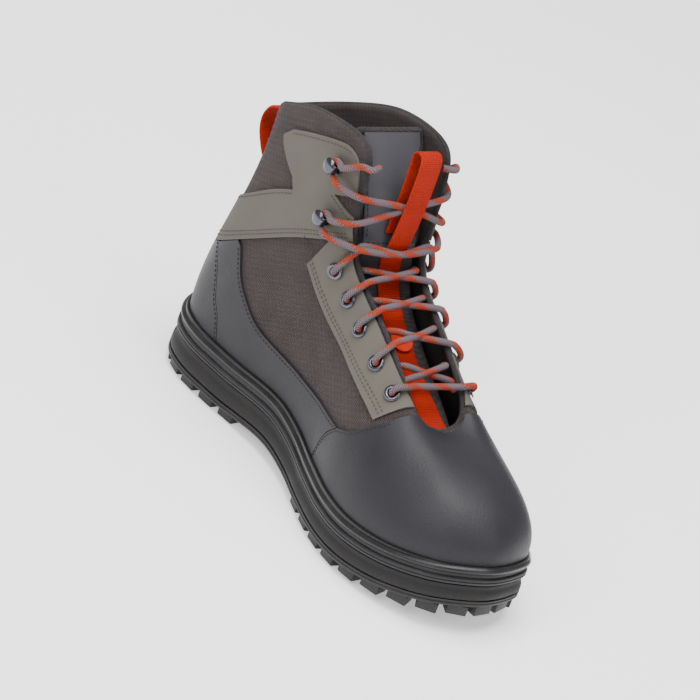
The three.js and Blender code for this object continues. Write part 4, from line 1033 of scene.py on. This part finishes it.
def seek(x, z, side):
    """The place and level where the last is seen at this point of the side view."""

    def miss(spot):
        p = last_point(*spot)
        return (p.x - x) ** 2 + (p.z - z) ** 2

    tree, spots = SIDE_TREES[side]
    spot = spots[tree.find((x, 0, z))[1]]
    for step in SEEK_STEPS:
        for _ in range(3):
            spot = min(spots_round(*spot, step), key=miss)
    return spot


def side_xz(along, up):
    return along * SOLE_LENGTH - HEEL_BACK, up * COLLAR_HEIGHT


EYELET_SPOTS = {side: [seek(*side_xz(*spot), side) for spot in EYELETS] for side, _ in SIDES}
HOOK_SPOTS = {side: [seek(*side_xz(*spot), side) for spot in HOOKS] for side, _ in SIDES}
print("eyelets on the inner side:", [(round(a, 2), round(b, 3)) for a, b in EYELET_SPOTS[-1]])

# %% [markdown]
# The stitches are real little threads. Each is a short rounded bar that dips into the leather at its
# ends, and a seam is a row of them along an outline, moved in from the cut edge. Two rows run side
# by side along the nubuck, and the toe cap has one fine row.

# %% Stitches
STITCH_LONG, STITCH_GAP, STITCH_WIDE = 1.9 * MM, 0.9 * MM, 0.6 * MM
STITCH_ROWS = (  # share of the length, share of the width, lift in millimetres
    (0, 0.35, -0.12), (0.18, 0.95, 0.1), (0.5, 1.05, 0.16), (0.82, 0.95, 0.1), (1, 0.35, -0.12),
)
STITCH_ANGLES = (0, math.pi / 3, 2 * math.pi / 3, math.pi, 1.5 * math.pi)
STITCH_FACES = 22
SEAM_MISS = 0.6 * MM  # a point this far off the last's side view has no leather under it
SEAM_SHORTEST = 6 * MM
SEAM_TOP = 0.955


def stitch_mesh(points, faces, start, end, normal):
    run = (end - start).normalized()
    across = normal.cross(run).normalized()
    half, base = STITCH_WIDE / 2, len(points)
    for share, size, lift in STITCH_ROWS:
        middle = start.lerp(end, share) + normal * (lift * MM)
        for angle in STITCH_ANGLES:
            side, up = half * size * math.cos(angle), half * size * math.sin(angle)
            points.append(middle + across * side + normal * up)
    for i in range(4):
        for j in range(5):
            a, b = base + i * 5, base + (i + 1) * 5
            faces.append((a + j, a + (j + 1) % 5, b + (j + 1) % 5, b + j))
    faces.append(tuple(base + j for j in reversed(range(5))))
    faces.append(tuple(base + 20 + j for j in range(5)))


def inset_line(line, inset):
    """The outline moved to its left by the inset, in side view."""
    out = []
    for i, p in enumerate(line):
        run = line[min(i + 1, len(line) - 1)] - line[max(i - 1, 0)]
        run.normalize()
        out.append(p + Vector((-run.z, 0, run.x)) * inset)
    return out


def laid(line, side, off):
    """Runs of points and normals on the last, broken where the last isn't under the line."""
    runs, run = [], []
    for p in line:
        spot = seek(p.x, p.z, side)
        found = last_point(*spot)
        if math.hypot(found.x - p.x, found.z - p.z) < SEAM_MISS and spot[1] < SEAM_TOP:
            run.append((off_last(*spot, off), last_normal(*spot)))
        else:
            runs.append(run)
            run = []
    return [part for part in [*runs, run] if len(part) > 2]


def stitch_run(points, faces, run):
    lengths = [0.0]
    for (a, _), (b, _) in zip(run, run[1:]):
        lengths.append(lengths[-1] + (b - a).length)
    if lengths[-1] < SEAM_SHORTEST:
        return
    count = max(1, round(lengths[-1] / (STITCH_LONG + STITCH_GAP)))
    pitch = lengths[-1] / count
    final = len(lengths) - 2

    def at(s):
        i = next((k for k in range(final) if s <= lengths[k + 1]), final)
        f = (s - lengths[i]) / max(lengths[i + 1] - lengths[i], 1e-9)
        (p, up), (q, next_up) = run[i], run[i + 1]
        return p.lerp(q, f), up.lerp(next_up, f).normalized()

    for k in range(count):
        start, normal = at(k * pitch + STITCH_GAP / 2)
        end, _ = at((k + 1) * pitch - STITCH_GAP / 2)
        stitch_mesh(points, faces, start, end, normal)


def dense(line, step=2.5 * MM):
    out = []
    for a, b in zip(line, line[1:]):
        count = max(1, round((b - a).length / step))
        out += [a.lerp(b, k / count) for k in range(count)]
    return out + [line[-1]]


def seam(name, line, side, insets, colour):
    """Rows of stitches on an overlay, along a side-view line moved in by each inset."""
    points, faces = [], []
    for inset in insets:
        for run in laid(inset_line(dense(line), inset * MM), side, OVERLAY_TOP):
            stitch_run(points, faces, run)
    return finish_piece(mesh_piece(name, points, faces), colour, [], 60)


ON_NUBUCK = (SAGE_THREAD, "sage_nubuck")
ON_CHARCOAL = (DARK_THREAD, "charcoal_synthetic")
SEAMS = {  # outline, insets in millimetres, thread and the leather's slot
    "band_low": (BAND_BOTTOM, [2.4, 4.6], *ON_NUBUCK),
    "band_top": (BAND_TOP, [2.4], *ON_NUBUCK),
    "flap_top": (FLAP_TOP, [2.4], *ON_NUBUCK),
    "flap_notch": (NOTCH, [-2.2], *ON_NUBUCK),
    "stay": (STAY_BACK, [2.4, 4.6], *ON_NUBUCK),
    "cap": (CAP_TOP, [-2.0], *ON_CHARCOAL),
    "cap_side": (CAP_SEAM, [2.0], *ON_CHARCOAL),
    "rand": (RAND_TOP, [-2.0], *ON_CHARCOAL),
    "counter": (COUNTER_FRONT, [-2.0], *ON_CHARCOAL),
}
seams = [
    seam(f"seam_{name}_{word}", line, side, insets, colour)
    for side, word in SIDES
    for name, (line, insets, colour, slot_name) in SEAMS.items()
]
print({obj.name: len(obj.data.polygons) // STITCH_FACES for obj in seams})

# %% [markdown]
# A soft dark piping is rolled over the collar and the throat. It is a thin tube along the rim, and
# it hides the raw edge of the mesh.

# %% Tubes


def tube(name, points, radius, sides=12, closed=False):
    """A round tube through the points, with a UV of metres along it and shares round it."""
    across, rings, count, walked, lengths = Vector((0.3, 0.2, 1)), [], len(points), 0.0, []
    angles = [k / sides * TAU for k in range(sides)]
    for i, p in enumerate(points):
        before = points[i - 1] if closed else points[max(i - 1, 0)]
        after = points[(i + 1) % count] if closed else points[min(i + 1, count - 1)]
        run = (after - before).normalized()
        across = (across - run * across.dot(run)).normalized()
        other = across.cross(run)
        walked += (p - points[i - 1]).length if i else 0.0
        lengths.append(walked)
        size = radius(i / max(count - 1, 1)) if callable(radius) else radius
        rings.append(
            [p + across * (size * math.cos(a)) + other * (size * math.sin(a)) for a in angles]
        )
    faces, loops = [], []
    for i in range(count if closed else count - 1):
        a, b = i * sides, ((i + 1) % count) * sides
        low, high = lengths[i], lengths[i + 1] if i + 1 < count else walked
        for j in range(sides):
            faces.append((a + j, b + j, b + (j + 1) % sides, a + (j + 1) % sides))
            one, two = j / sides, (j + 1) / sides
            loops.append([(low, one), (high, one), (high, two), (low, two)])
    if not closed:
        faces.append(tuple(range(sides)))
        faces.append(tuple((count - 1) * sides + j for j in reversed(range(sides))))
        loops += [[(0, 0)] * sides, [(0, 0)] * sides]
    obj = mesh_piece(name, [p for ring in rings for p in ring], faces)
    layer = obj.data.uv_layers.new(name="UVMap")
    for polygon, corners in zip(obj.data.polygons, loops):
        for loop_index, uv in zip(polygon.loop_indices, corners):
            layer.data[loop_index].uv = uv
    return obj


def rim_point(place):
    wall = wall_at(place, 1)
    middle = off_last(place, 1, -wall * 0.5)
    up = (last_point(place, 1) - last_point(place, 0.97)).normalized()
    return middle - up * (wall * 0.22)


def line_length(line):
    return sum((a - b).length for a, b in zip(line, line[1:]))


RIM_STEPS = 260
rim_line = [rim_point(i / RIM_STEPS * ROUND) for i in range(RIM_STEPS)]
piping = tube("collar_piping", rim_line, 1.75 * MM, closed=True)
finish_piece(piping, LINING, [], 60)
print("piping length:", round(line_length(rim_line), 3))

# %% [markdown]
# The tongue is a padded strip with a rounded edge all round. Its rows are the frame's rows, run
# smoothly through, and each ring is a flat oval instead of a box.

# %% Tongue
TONGUE = [
    (0.657, 0.412, 0.26, 0.02), (0.593, 0.456, 0.28, 0.026), (0.535, 0.502, 0.29, 0.026),
    (0.487, 0.554, 0.285, 0.03), (0.455, 0.61, 0.285, 0.035), (0.4375, 0.678, 0.285, 0.04),
    (0.4167, 0.771, 0.295, 0.047), (0.3814, 0.878, 0.31, 0.053), (0.33, 1.005, 0.305, 0.053),
]
TONGUE_THICK = 5 * MM
WEBBING_THICK = 1.6 * MM
WEBBING_WIDTH = 15 * MM
WEBBING_SEAT = GAP + WEBBING_THICK
PANEL_THICK = 1.2 * MM


def tongue_rows():
    under = -(UPPER_WALL + 3 * GAP + WEBBING_SEAT)
    rows = []
    for t in (0.9, 0.995):
        p = off_last(LAST_STATION, t, under)
        rows.append([p.x, p.z, 0.2 * COLLAR_WIDTH, 0.0])
    rows += [[*side_xz(along, up), half * COLLAR_WIDTH, lean * COLLAR_WIDTH] for along, up, half, lean in TONGUE]
    with_out = []
    for i, row in enumerate(rows):
        before, after = rows[max(0, i - 1)], rows[min(len(rows) - 1, i + 1)]
        run = Vector((after[0] - before[0], after[1] - before[1])).normalized()
        with_out.append((*row, run.y, -run.x))
    return with_out


TONGUE_ROWS = tongue_rows()


def tongue_row_at(f):
    """A row part way between two rows, straight between them as in the frame."""
    i = min(int(f), len(TONGUE_ROWS) - 2)
    a, b = TONGUE_ROWS[i], TONGUE_ROWS[i + 1]
    return [p + (q - p) * (f - i) for p, q in zip(a, b)]


def tongue_smooth_row(f):
    """The same row, on a curve that runs smoothly through all the rows."""
    last = len(TONGUE_ROWS) - 1
    i = min(int(f), last - 1)
    rows = [TONGUE_ROWS[min(max(k, 0), last)] for k in (i - 1, i, i + 1, i + 2)]
    mixed = [spline(*four, f - i) for four in zip(*rows)]
    out = Vector((mixed[4], mixed[5])).normalized()
    return mixed[:4] + [out.x, out.y]


def tongue_point(row, across, depth):
    sink = depth + 10 * MM * max(0.0, abs(across) - 0.25) ** 2
    return Vector((row[0] - row[4] * sink, across * row[2] - row[3], row[1] - row[5] * sink))


def oval_row(row, low, high, reach, round_at=0.9, steps=9):
    """A flat ring across the tongue between two depths, with its two edges rounded."""
    middle, half = (low + high) / 2, (high - low) / 2
    flat, edge = reach * round_at, reach * (1 - round_at)
    shares = [flat * (1 - 2 * k / (steps - 1)) for k in range(steps)]

    def turned(side, angle):
        across = side * (flat + edge * math.sin(angle))
        return tongue_point(row, across, middle - half * math.cos(angle))

    ring = [tongue_point(row, a, low) for a in shares]
    ring += [turned(-1, k / 6 * math.pi) for k in range(1, 6)]
    ring += [tongue_point(row, a, high) for a in reversed(shares)]
    return ring + [turned(1, math.pi - k / 6 * math.pi) for k in range(1, 6)]


def tongue_ring(k):
    """The tongue's ring at a step up it. Its last rings close, which rounds the top."""
    close = 1 - math.sqrt(max(0.0, 1 - (1 - min(1.0, (TONGUE_STEPS - k) / 1.4)) ** 2))
    row = tongue_smooth_row(LAST_ROW * k / TONGUE_STEPS)
    high = TONGUE_THICK * (1 - close / 2)
    return oval_row(row, TONGUE_THICK / 2 * close, high, 1 - close * 0.1)


def binding_size(f):
    return 2.3 * MM * min(1.0, 0.35 + 14 * min(f, 1 - f))


LAST_ROW = len(TONGUE_ROWS) - 1
TONGUE_STEPS = 60
PANEL_STEPS, PANEL_START, PANEL_END = 40, 7.3, 9.93
tongue_rings = [tongue_ring(k) for k in range(TONGUE_STEPS + 1)]
tongue = rings_piece("tongue_padded", tongue_rings, False)
finish_piece(tongue, TONGUE_CLOTH, ["tongue"], 60)
panel_rings = []
for k in range(PANEL_STEPS + 1):
    row = tongue_smooth_row(PANEL_START + (PANEL_END - PANEL_START) * k / PANEL_STEPS)
    panel_rings.append(oval_row(row, -GAP - PANEL_THICK, -GAP * 0.6, 0.86, 0.95))
panel = rings_piece("tongue_panel_smooth", panel_rings, False)
finish_piece(panel, FACING, ["tongue_panel"], 50)
rising = [tongue_smooth_row(7.2 + 2.6 * k / 16) for k in range(17)]
top_row = tongue_smooth_row(9.97)
binding_line = [tongue_point(row, -0.98, 2.2 * MM) for row in rising]
binding_line += [tongue_point(top_row, -0.9 + 1.8 * k / 12, 1.6 * MM) for k in range(13)]
binding_line += [tongue_point(row, 0.98, 2.2 * MM) for row in reversed(rising)]
binding = tube("tongue_binding", curve_through(binding_line, 3), binding_size)
finish_piece(binding, LINING, [], 60)
print("tongue rows:", [round(row[1], 4) for row in TONGUE_ROWS])

# %% [markdown]
# The panel on the tongue's front is stitched down with two rows across its foot and one up each
# side. The stitches could follow an outline again, but the tongue has its own rows, so the rows
# give their ends.

# %% Tongue panel's stitches
PANEL_FACE = -GAP - PANEL_THICK
points, faces = [], []


def panel_stitch(row, across, next_row, next_across):
    start = tongue_point(row, across, PANEL_FACE)
    end = tongue_point(next_row, next_across, PANEL_FACE)
    out = Vector((row[4], 0, row[5]))
    stitch_mesh(points, faces, start.lerp(end, 0.12), start.lerp(end, 0.88), out)


for row in (tongue_smooth_row(7.42), tongue_smooth_row(7.56)):
    shares = [-0.8 + 1.6 * k / 12 for k in range(13)]
    for a, b in zip(shares, shares[1:]):
        panel_stitch(row, a, row, b)
for edge in (-0.79, 0.79):
    rows = [tongue_smooth_row(7.7 + k * 0.13) for k in range(16)]
    for a, b in zip(rows, rows[1:]):
        panel_stitch(a, edge, b, edge)
panel_stitches = mesh_piece("seam_tongue_panel", points, faces)
finish_piece(panel_stitches, DARK_THREAD, [], 60)
print("panel stitches:", len(faces) // STITCH_FACES)

# %% [markdown]
# The orange webbing is a strip of nylon ribbon. It carries a UV map in metres, so that its weave
# follows it round the loop. The strap leaves the tongue near its top, stands as a loop for a finger,
# folds over and is sewn down again. The heel's pull loop is made the same way.

# %% Webbing
STRAP_FOLD = (0.437, 1.012, -0.012, 4.4 * MM)


def ribbon(name, path, node):
    """A strip of webbing through the path's points, with thinner, rounded edges."""
    half, deep = WEBBING_WIDTH / 2, WEBBING_THICK / 2
    inner, outer = half - 0.7 * MM, half - 0.2 * MM
    section = [(inner, deep), (0, deep), (-inner, deep)]
    section += [(-outer, deep * 0.7), (-half, 0), (-outer, -deep * 0.7)]
    section += [(-across, -up) for across, up in section]
    rings, walked, lengths = [], 0.0, []
    for i, p in enumerate(path):
        before, after = path[max(0, i - 1)], path[min(len(path) - 1, i + 1)]
        run = Vector((after.x - before.x, 0, after.z - before.z)).normalized()
        out = Vector((run.z, 0, -run.x))
        walked += (p - path[i - 1]).length if i else 0.0
        lengths.append(walked)
        rings.append([Vector((p.x, across + p.y, p.z)) + out * up for across, up in section])
    uvs = [(across, s) for s in lengths for across, _ in section]
    return finish_piece(rings_piece(name, rings, False, uvs), WEBBING, [node], 60)


def strap_path():
    lift = GAP + WEBBING_THICK / 2
    path = [Vector((r[0] + r[4] * lift, -r[3], r[1] + r[5] * lift)) for r in TONGUE_ROWS[:8]]
    base = path[-1]
    x, z = side_xz(*STRAP_FOLD[:2])
    fold = Vector((x, -STRAP_FOLD[2] * COLLAR_WIDTH, z))

    def bowed(start, end, f, bow):
        return start.lerp(end, f) + Vector((bow * math.sin(math.pi * f), 0, 0))

    def turned(angle):
        deep = STRAP_FOLD[3]
        return fold + Vector((-deep * (1 - math.cos(angle)), 0, -4 * MM + deep * math.sin(angle)))

    path += [bowed(base, fold, f, 2.2 * MM) for f in (0.14, 0.4, 0.68, 0.93)]
    path += [turned(share * math.pi) for share in (0.3, 0.5, 0.7, 1)]
    seat = tongue_row_at(7.85)
    off = 2 * GAP + PANEL_THICK + WEBBING_THICK / 2
    end = Vector((seat[0] + seat[4] * off, -seat[3], seat[1] + seat[5] * off))
    path += [bowed(turned(math.pi), end, f, 0.8 * MM) for f in (0.3, 0.62, 0.86)] + [end]
    return path


def heel_loop_path():
    lift = 1.6 * GAP + WEBBING_THICK / 2
    lean = TABLE["lean"][LAST_STATION]

    def at(t):
        p = off_last(0, t, lift)
        return Vector((p.x, -lean, p.z))

    top, bottom = at(LOOP_TOP), at(LOOP_BOTTOM)
    run = [top.lerp(bottom, down) - Vector((out * MM, 0, 0)) for down, out in LOOP_FREE]
    return ([at(LOOP_TOP + 0.045 * 0.6), top] + run + [bottom, at(LOOP_BOTTOM - 0.045)])[::-1]


LOOP_TOP, LOOP_BOTTOM = 0.965, 0.75
LOOP_FREE = [(0.04, 8), (0.15, 14), (0.35, 17.5), (0.56, 16.5), (0.76, 11.5), (0.91, 5.5)]
strap = ribbon("tongue_strap_webbing", curve_through(strap_path(), 6), "tongue_strap")
heel_loop = ribbon("heel_pull_loop", curve_through(heel_loop_path(), 6), "heel_loop")
print("strap rows:", len(strap.data.vertices) // 12)

# %% [markdown]
# The keeper is a small rubber disc that holds the strap down between the laces. It is a cylinder:
# its face is inset and pressed in a little, which leaves a raised rim, and its edges are bevelled.

# %% Keeper on the strap
KEEPER_RADIUS, KEEPER_THICK = 7.5 * MM, 1.2 * MM
ACROSS = Vector((0, 1, 0))
bpy.ops.mesh.primitive_cylinder_add(vertices=48, radius=KEEPER_RADIUS, depth=KEEPER_THICK)
keeper = bpy.context.object
keeper.name = "strap_keeper_disc"
edit_start(keeper)
select_faces(keeper, lambda face: face.normal.z > 0.9)
bpy.ops.mesh.inset(thickness=1.3 * MM)
bpy.ops.transform.translate(value=(0, 0, -0.25 * MM))
edit_end(keeper)


def rim_edge(edge):
    a, b = [v.co for v in edge.verts]
    return min(a.xy.length, b.xy.length) > KEEPER_RADIUS - 0.1 * MM and abs(a.z - b.z) < 0.1 * MM


bevel_edges(keeper, rim_edge, 0.3 * MM)
keeper_row = TONGUE_ROWS[4]
keeper_out = Vector((keeper_row[4], 0, keeper_row[5]))
keeper_seat = WEBBING_SEAT + GAP * 3 + KEEPER_THICK / 2
keeper_turn = Matrix((ACROSS.cross(keeper_out), ACROSS, keeper_out)).transposed().to_4x4()
keeper_middle = tongue_point(keeper_row, 0, 0) + keeper_out * keeper_seat
keeper.data.transform(Matrix.Translation(keeper_middle) @ keeper_turn)
finish_piece(keeper, KEEPER_FINISH, ["strap_keeper"], 40)
print("keeper faces:", len(keeper.data.polygons))

# %% [markdown]
# Each eyelet is a rolled steel ring. Its section is drawn once as a small closed loop and spun
# round Z with the spin operator, then copied to every place. Each hook is a round foot plate and a
# bent tongue under a shallow dome.

# %% Eyelets and hooks


def last_frame(spot, off):
    """A turn and move that stands +Z along the last's normal, the shortest way."""
    normal = last_normal(*spot)
    turned = Vector((0, 0, 1)).rotation_difference(normal).to_matrix().to_4x4()
    return Matrix.Translation(off_last(*spot, off)) @ turned


def hook_frame(spot):
    normal = last_normal(*spot)
    back = Vector((-1, 0, 0.12))
    back = (back - normal * back.dot(normal)).normalized()
    turned = Matrix((back, normal.cross(back), normal)).transposed().to_4x4()
    return Matrix.Translation(off_last(*spot, OVERLAY_TOP)) @ turned


def spun(name, profile, steps=28):
    """A closed section in the XZ plane, spun once round Z."""
    bpy.ops.mesh.primitive_circle_add(vertices=len(profile), radius=1 * MM)
    ring = bpy.context.object
    ring.name = name
    for vertex, (r, z) in zip(ring.data.vertices, profile):
        vertex.co = (r * MM, 0, z * MM)
    edit_start(ring)
    bpy.ops.mesh.select_mode(type="EDGE")
    bpy.ops.mesh.select_all(action="SELECT")
    bpy.ops.mesh.spin(steps=steps, angle=TAU, center=(0, 0, 0), axis=(0, 0, 1))
    edit_end(ring)
    recalculate(ring)
    return ring


EYELET_SECTION = [
    (2.3, -3.5), (2.5, -3.62), (2.8, -3.5), (2.8, 0.6), (3.1, 0.72), (4.8, 0.72), (5.0, 0.9),
    (4.95, 1.15), (4.6, 1.5), (4.0, 1.75), (3.4, 1.8), (2.85, 1.6), (2.45, 1.2), (2.3, 0.7),
]
PLATE_SECTION = [
    (0.05, 0.6), (4.6, 0.6), (4.9, 0.8), (5.0, 1.1), (4.9, 1.5), (4.5, 1.75), (3.6, 1.85),
    (0.05, 1.85),
]
DOME_SECTION = [
    (0.05, 7.0), (3.2, 6.9), (4.4, 6.75), (4.75, 7.0), (4.7, 7.5), (4.2, 8.2), (3.3, 8.75),
    (2.2, 9.1), (1.1, 9.3), (0.05, 9.35),
]
ARM = [
    (-3.6, 1.4), (-4.5, 4.0), (-4.6, 6.0), (-4.1, 7.3), (-3.0, 8.1), (-1.4, 8.45), (0.5, 8.5),
    (2.4, 8.1), (4.0, 7.3), (4.6, 6.5), (4.2, 5.9), (3.4, 6.0), (2.0, 6.6), (0.5, 6.9),
    (-0.8, 6.85), (-1.9, 6.5), (-2.6, 5.9), (-2.8, 4.9), (-2.4, 3.2), (-1.6, 1.4),
]
ARM_SHARES = (-1, -0.9, -0.6, 0, 0.6, 0.9, 1)
ARM_MIDDLE, ARM_FOOT = -0.4, 1.4


def arm_point(share, x, z):
    """A point of the arm's outline at a share of its half width, drawn in at the two ends."""
    tab = 1 - 0.55 * max(0.0, (x - 0.5) / 4.1) ** 2
    wide = 2.3 + 0.9 * smooth(z, 5.0, 7.0) * tab
    inward = 0.35 if abs(share) > 0.95 else 0.0
    along = (x - ARM_MIDDLE) * (1 - inward * 0.12) + ARM_MIDDLE
    return Vector((along, share * wide, ARM_FOOT + (z - ARM_FOOT) * (1 - inward * 0.06))) * MM


def hook_arm():
    """The bent tongue: its side outline, widened to a rounded tab over the lace."""
    rings = [[arm_point(share, x, z) for x, z in ARM] for share in ARM_SHARES]
    arm = rings_piece("hook_arm_model", rings, False)
    recalculate(arm)
    return arm


def set_down(model, name, matrix, node):
    copy = copied(model, matrix)
    copy.name = name
    return finish_piece(copy, STEEL, [node], 50)


eyelet_model = spun("eyelet_model", EYELET_SECTION)
hook_plate, hook_dome = spun("hook_plate", PLATE_SECTION), spun("hook_dome", DOME_SECTION)
hook_model = join_pieces([hook_plate, hook_arm(), hook_dome], "hook_model")
for side, word in SIDES:
    for i, spot in enumerate(EYELET_SPOTS[side], 1):
        stand = last_frame(spot, OVERLAY_TOP)
        set_down(eyelet_model, f"eyelet_ring_{word}_{i}", stand, f"eyelet_{word}_{i}")
    for i, spot in enumerate(HOOK_SPOTS[side], 1):
        set_down(hook_model, f"lace_hook_{word}_{i}", hook_frame(spot), f"hook_{word}_{i}")
for model in (eyelet_model, hook_model):
    bpy.data.objects.remove(model)
print("hardware set down:", 2 * (len(EYELETS) + len(HOOKS)))

# %% [markdown]
# The lacing is a set of short fixed runs. A bar joins the lowest eyelets, crossings go under one
# facing and over the other, and the ends pass round the hooks and in behind the collar. Each run is
# a smooth curve through the frame's own points, given a round section.

# %% Lace runs
LACE_HALF = 2 * MM
OVER_RIM = OVERLAY_TOP + LACE_HALF + 2 * GAP
STRAP_CLEAR = WEBBING_SEAT + LACE_HALF + 4 * GAP
KEEPER_CLEAR = STRAP_CLEAR + 1.2 * MM + 2 * GAP
PLACE_STEP = 0.05
LEAVING = ((0.9, 0), (2.9, 0.4), (4.2, 2), (4.3, 5.4))  # up and away from an eyelet, millimetres
ROUND_HOOK = [  # back, across and up from a hook's foot, in millimetres
    (-9.5, -5, 2.4), (-4.6, -5, 0.3), (-1, -4.6, 0), (0.9, -2.4, 0),
    (0.9, 2.4, 0), (-1, 4.6, 0), (-4.6, 5, 0.3), (-9.5, 5, 2.4),
]


def rim_near(side, spot):
    home = last_point(*spot)
    start = 0 if side < 0 else LAST_STATION
    places = [start + k * PLACE_STEP for k in range(int(LAST_STATION / PLACE_STEP) + 1)]
    return min(places, key=lambda place: (last_point(place, 1) - home).length)


RIM_NEAR = {side: [rim_near(side, spot) for spot in EYELET_SPOTS[side]] for side, _ in SIDES}


def rim_place(side, i, step):
    here = RIM_NEAR[side][i]
    other = i + (1 if step > 0 else -1)
    if other < 0 or other >= len(EYELETS):
        return here + step * side * 1.1
    return here + (RIM_NEAR[side][other] - here) * abs(step)


def out_of_eyelet(side, i, step):
    """From an eyelet's hole over the facing and past its edge."""
    spot = EYELET_SPOTS[side][i]
    up = last_normal(*spot)
    place = rim_place(side, i, step)
    rim, edge = off_last(place, 1, OVER_RIM), last_point(place, 1)
    past = edge.lerp(last_point(*spot), -0.3) + last_normal(place, 1) * (LACE_HALF + 2 * GAP)
    seat = off_last(*spot, OVERLAY_TOP)
    to = rim - seat
    to = (to - up * to.dot(up)).normalized()
    return [seat + up * (high * MM) + to * (far * MM) for high, far in LEAVING] + [rim, past]


def under_facing(side, i, step):
    """Between the facing and the tongue, towards the eyelet."""
    spot = EYELET_SPOTS[side][i]
    off = -(UPPER_WALL + LACE_HALF + 3.5 * GAP)
    place = rim_place(side, i, step)
    edge, home = last_point(place, 1), last_point(*spot)
    one, two = last_normal(place, 1), last_normal(*spot)
    out = []
    for share in (-0.5, -0.15, 0.25, 0.5) if i < len(EYELETS) - 1 else (-0.5, -0.15, 0.15):
        normal = (one + (two - one) * share).normalized()
        out.append(edge + (home - edge) * share + normal * (off - 0.6 * MM * abs(share)))
    return out


def middle_of(a, b, clear):
    m = a.lerp(b, 0.5)
    steps = int((len(TONGUE_ROWS) - 1) / PLACE_STEP)
    rows = [tongue_row_at(k * PLACE_STEP) for k in range(steps)]
    row = min(rows, key=lambda r: (m.x - r[0]) ** 2 + (m.z - r[1]) ** 2)
    push = max(0.0, clear - ((m.x - row[0]) * row[4] + (m.z - row[1]) * row[5]))
    return Vector((m.x + row[4] * push, -row[3], m.z + row[5] * push))


def joined(start, end, clear):
    return start + [middle_of(start[-1], end[0], clear)] + end


def round_hook(side, i):
    stand, lift = hook_frame(HOOK_SPOTS[side][i]), 3 * GAP + 1.2 * MM + LACE_HALF
    line = [stand @ Vector((x * MM, y * MM, lift + up * MM)) for x, y, up in ROUND_HOOK]
    return line if line[0].z < line[-1].z else line[::-1]


def over_rim(side, at, t, off):
    return off_last(LAST_STATION + side * at, t, off)


def top_run(side):
    """From the top eyelet across to the lower hook, back to the upper one and into the collar."""
    lean = -COLLAR_WIDTH * 0.03

    def over(along, up, y):
        x, z = side_xz(along, up)
        return Vector((x, y, z))

    return [
        *out_of_eyelet(side, 4, 0.4), over(0.462, 0.715, lean),
        over_rim(-side, 8.3, 1, OVER_RIM + 3.2 * MM), over_rim(-side, 8.75, 0.93, OVER_RIM + 2 * MM),
        *round_hook(-side, 0), over_rim(-side, 9.1, 1, OVER_RIM + 0.5 * MM),
        over(0.4345, 0.833, lean - side * 9 * MM), over(0.4345, 0.857, lean + side * 9 * MM),
        over_rim(side, 9.75, 1, OVER_RIM), *round_hook(side, 1),
        over_rim(side, 10.5, 1, OVER_RIM - GAP),
        over_rim(side, 10.5, 1, 0.5 * MM) + Vector((6 * MM, 0, 0)),
        over_rim(side, 10.5, 1, -7 * MM) + Vector((3 * MM, 0, 0)),
    ]


def eased(line):
    """The frame's points with the sharp corners rounded, so the braid lies in even curves."""
    inner = [b * 0.8 + (a + c) * 0.1 for a, b, c in zip(line, line[1:], line[2:])]
    return [line[0], *inner, line[-1]]


def crossing(i):
    """The two laces that go from this pair of eyelets to the next one up."""
    pair = []
    for side, _ in SIDES:
        to = under_facing(-side, i + 1, -0.2)
        if i:
            pair.append(joined(out_of_eyelet(side, i, 0.2), to, KEEPER_CLEAR))
        else:
            pair.append(joined(under_facing(side, i, 0.2)[::-1], to, STRAP_CLEAR))
    return pair


runs = {"lace_bar": [joined(out_of_eyelet(-1, 0, 0), out_of_eyelet(1, 0, 0)[::-1], 0)]}
for i in range(4):
    runs[f"lace_cross_{i + 1}"] = crossing(i)
runs["lace_top"] = [top_run(side) for side, _ in SIDES]
for name, lines in runs.items():
    braids = [
        tube(f"{name}_braid_{k}", curve_through(eased(line), 7), LACE_HALF, sides=14)
        for k, line in enumerate(lines)
    ]
    braid = join_pieces(braids, name + "_braid") if len(braids) > 1 else braids[0]
    finish_piece(braid, LACE_BRAID, [name], 80)
lace_length = sum(line_length(line) for lines in runs.values() for line in lines)
print("lace seen:", round(lace_length, 3), "m")

# %% [markdown]
# Two small pieces keep the frame's own shapes: the footbed inside the boot, and the oval inlay in
# the waist of the sole. They only get better finishes.

# %% Kept pieces


def dress(node, finish):
    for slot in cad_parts[node].material_slots:
        slot.material = finish


dress("insole", LINING)
dress("sole_inlay", KEEPER_FINISH)

# %% [markdown]
# The floor is a large pale plane that glows a little, so that it stays as light as paper, and the
# world gives a soft light from all round. Three square lamps model the boot: one above it, one on
# the inner side that the camera sees, and a weak one before the toe.

# %% Floor and lights
LIGHTS = {  # where, size and power
    "top_light": ((0.2, -0.2, 2.3), 1.7, 95),
    "key_light": ((0.5, -1.7, 1.5), 1.1, 26),
    "front_light": ((1.9, 0.2, 1.2), 1.1, 12),
}
WHITE = (1, 1, 1, 1)
bpy.ops.mesh.primitive_plane_add(size=12)
floor = bpy.context.object
floor.name = "floor"
floor_finish = Finish(
    "pale_floor", Roughness=0.9, Base_Color=shade("fafafa"),
    Emission_Color=WHITE, Emission_Strength=0.5,
)
floor.data.materials.append(floor_finish.material)
world = bpy.data.worlds.new("studio")
world.use_nodes = True
background = next(n for n in world.node_tree.nodes if n.type == "BACKGROUND")
background.inputs["Color"].default_value = WHITE
background.inputs["Strength"].default_value = 0.45
bpy.context.scene.world = world

for name, (where, size, power) in LIGHTS.items():
    bpy.ops.object.light_add(type="AREA", location=where)
    lamp = bpy.context.object
    lamp.name = name
    lamp.data.size, lamp.data.energy = size, power
    lamp.rotation_euler = (Vector(where) - AIM).to_track_quat("Z", "Y").to_euler()
print("lights:", len(LIGHTS))
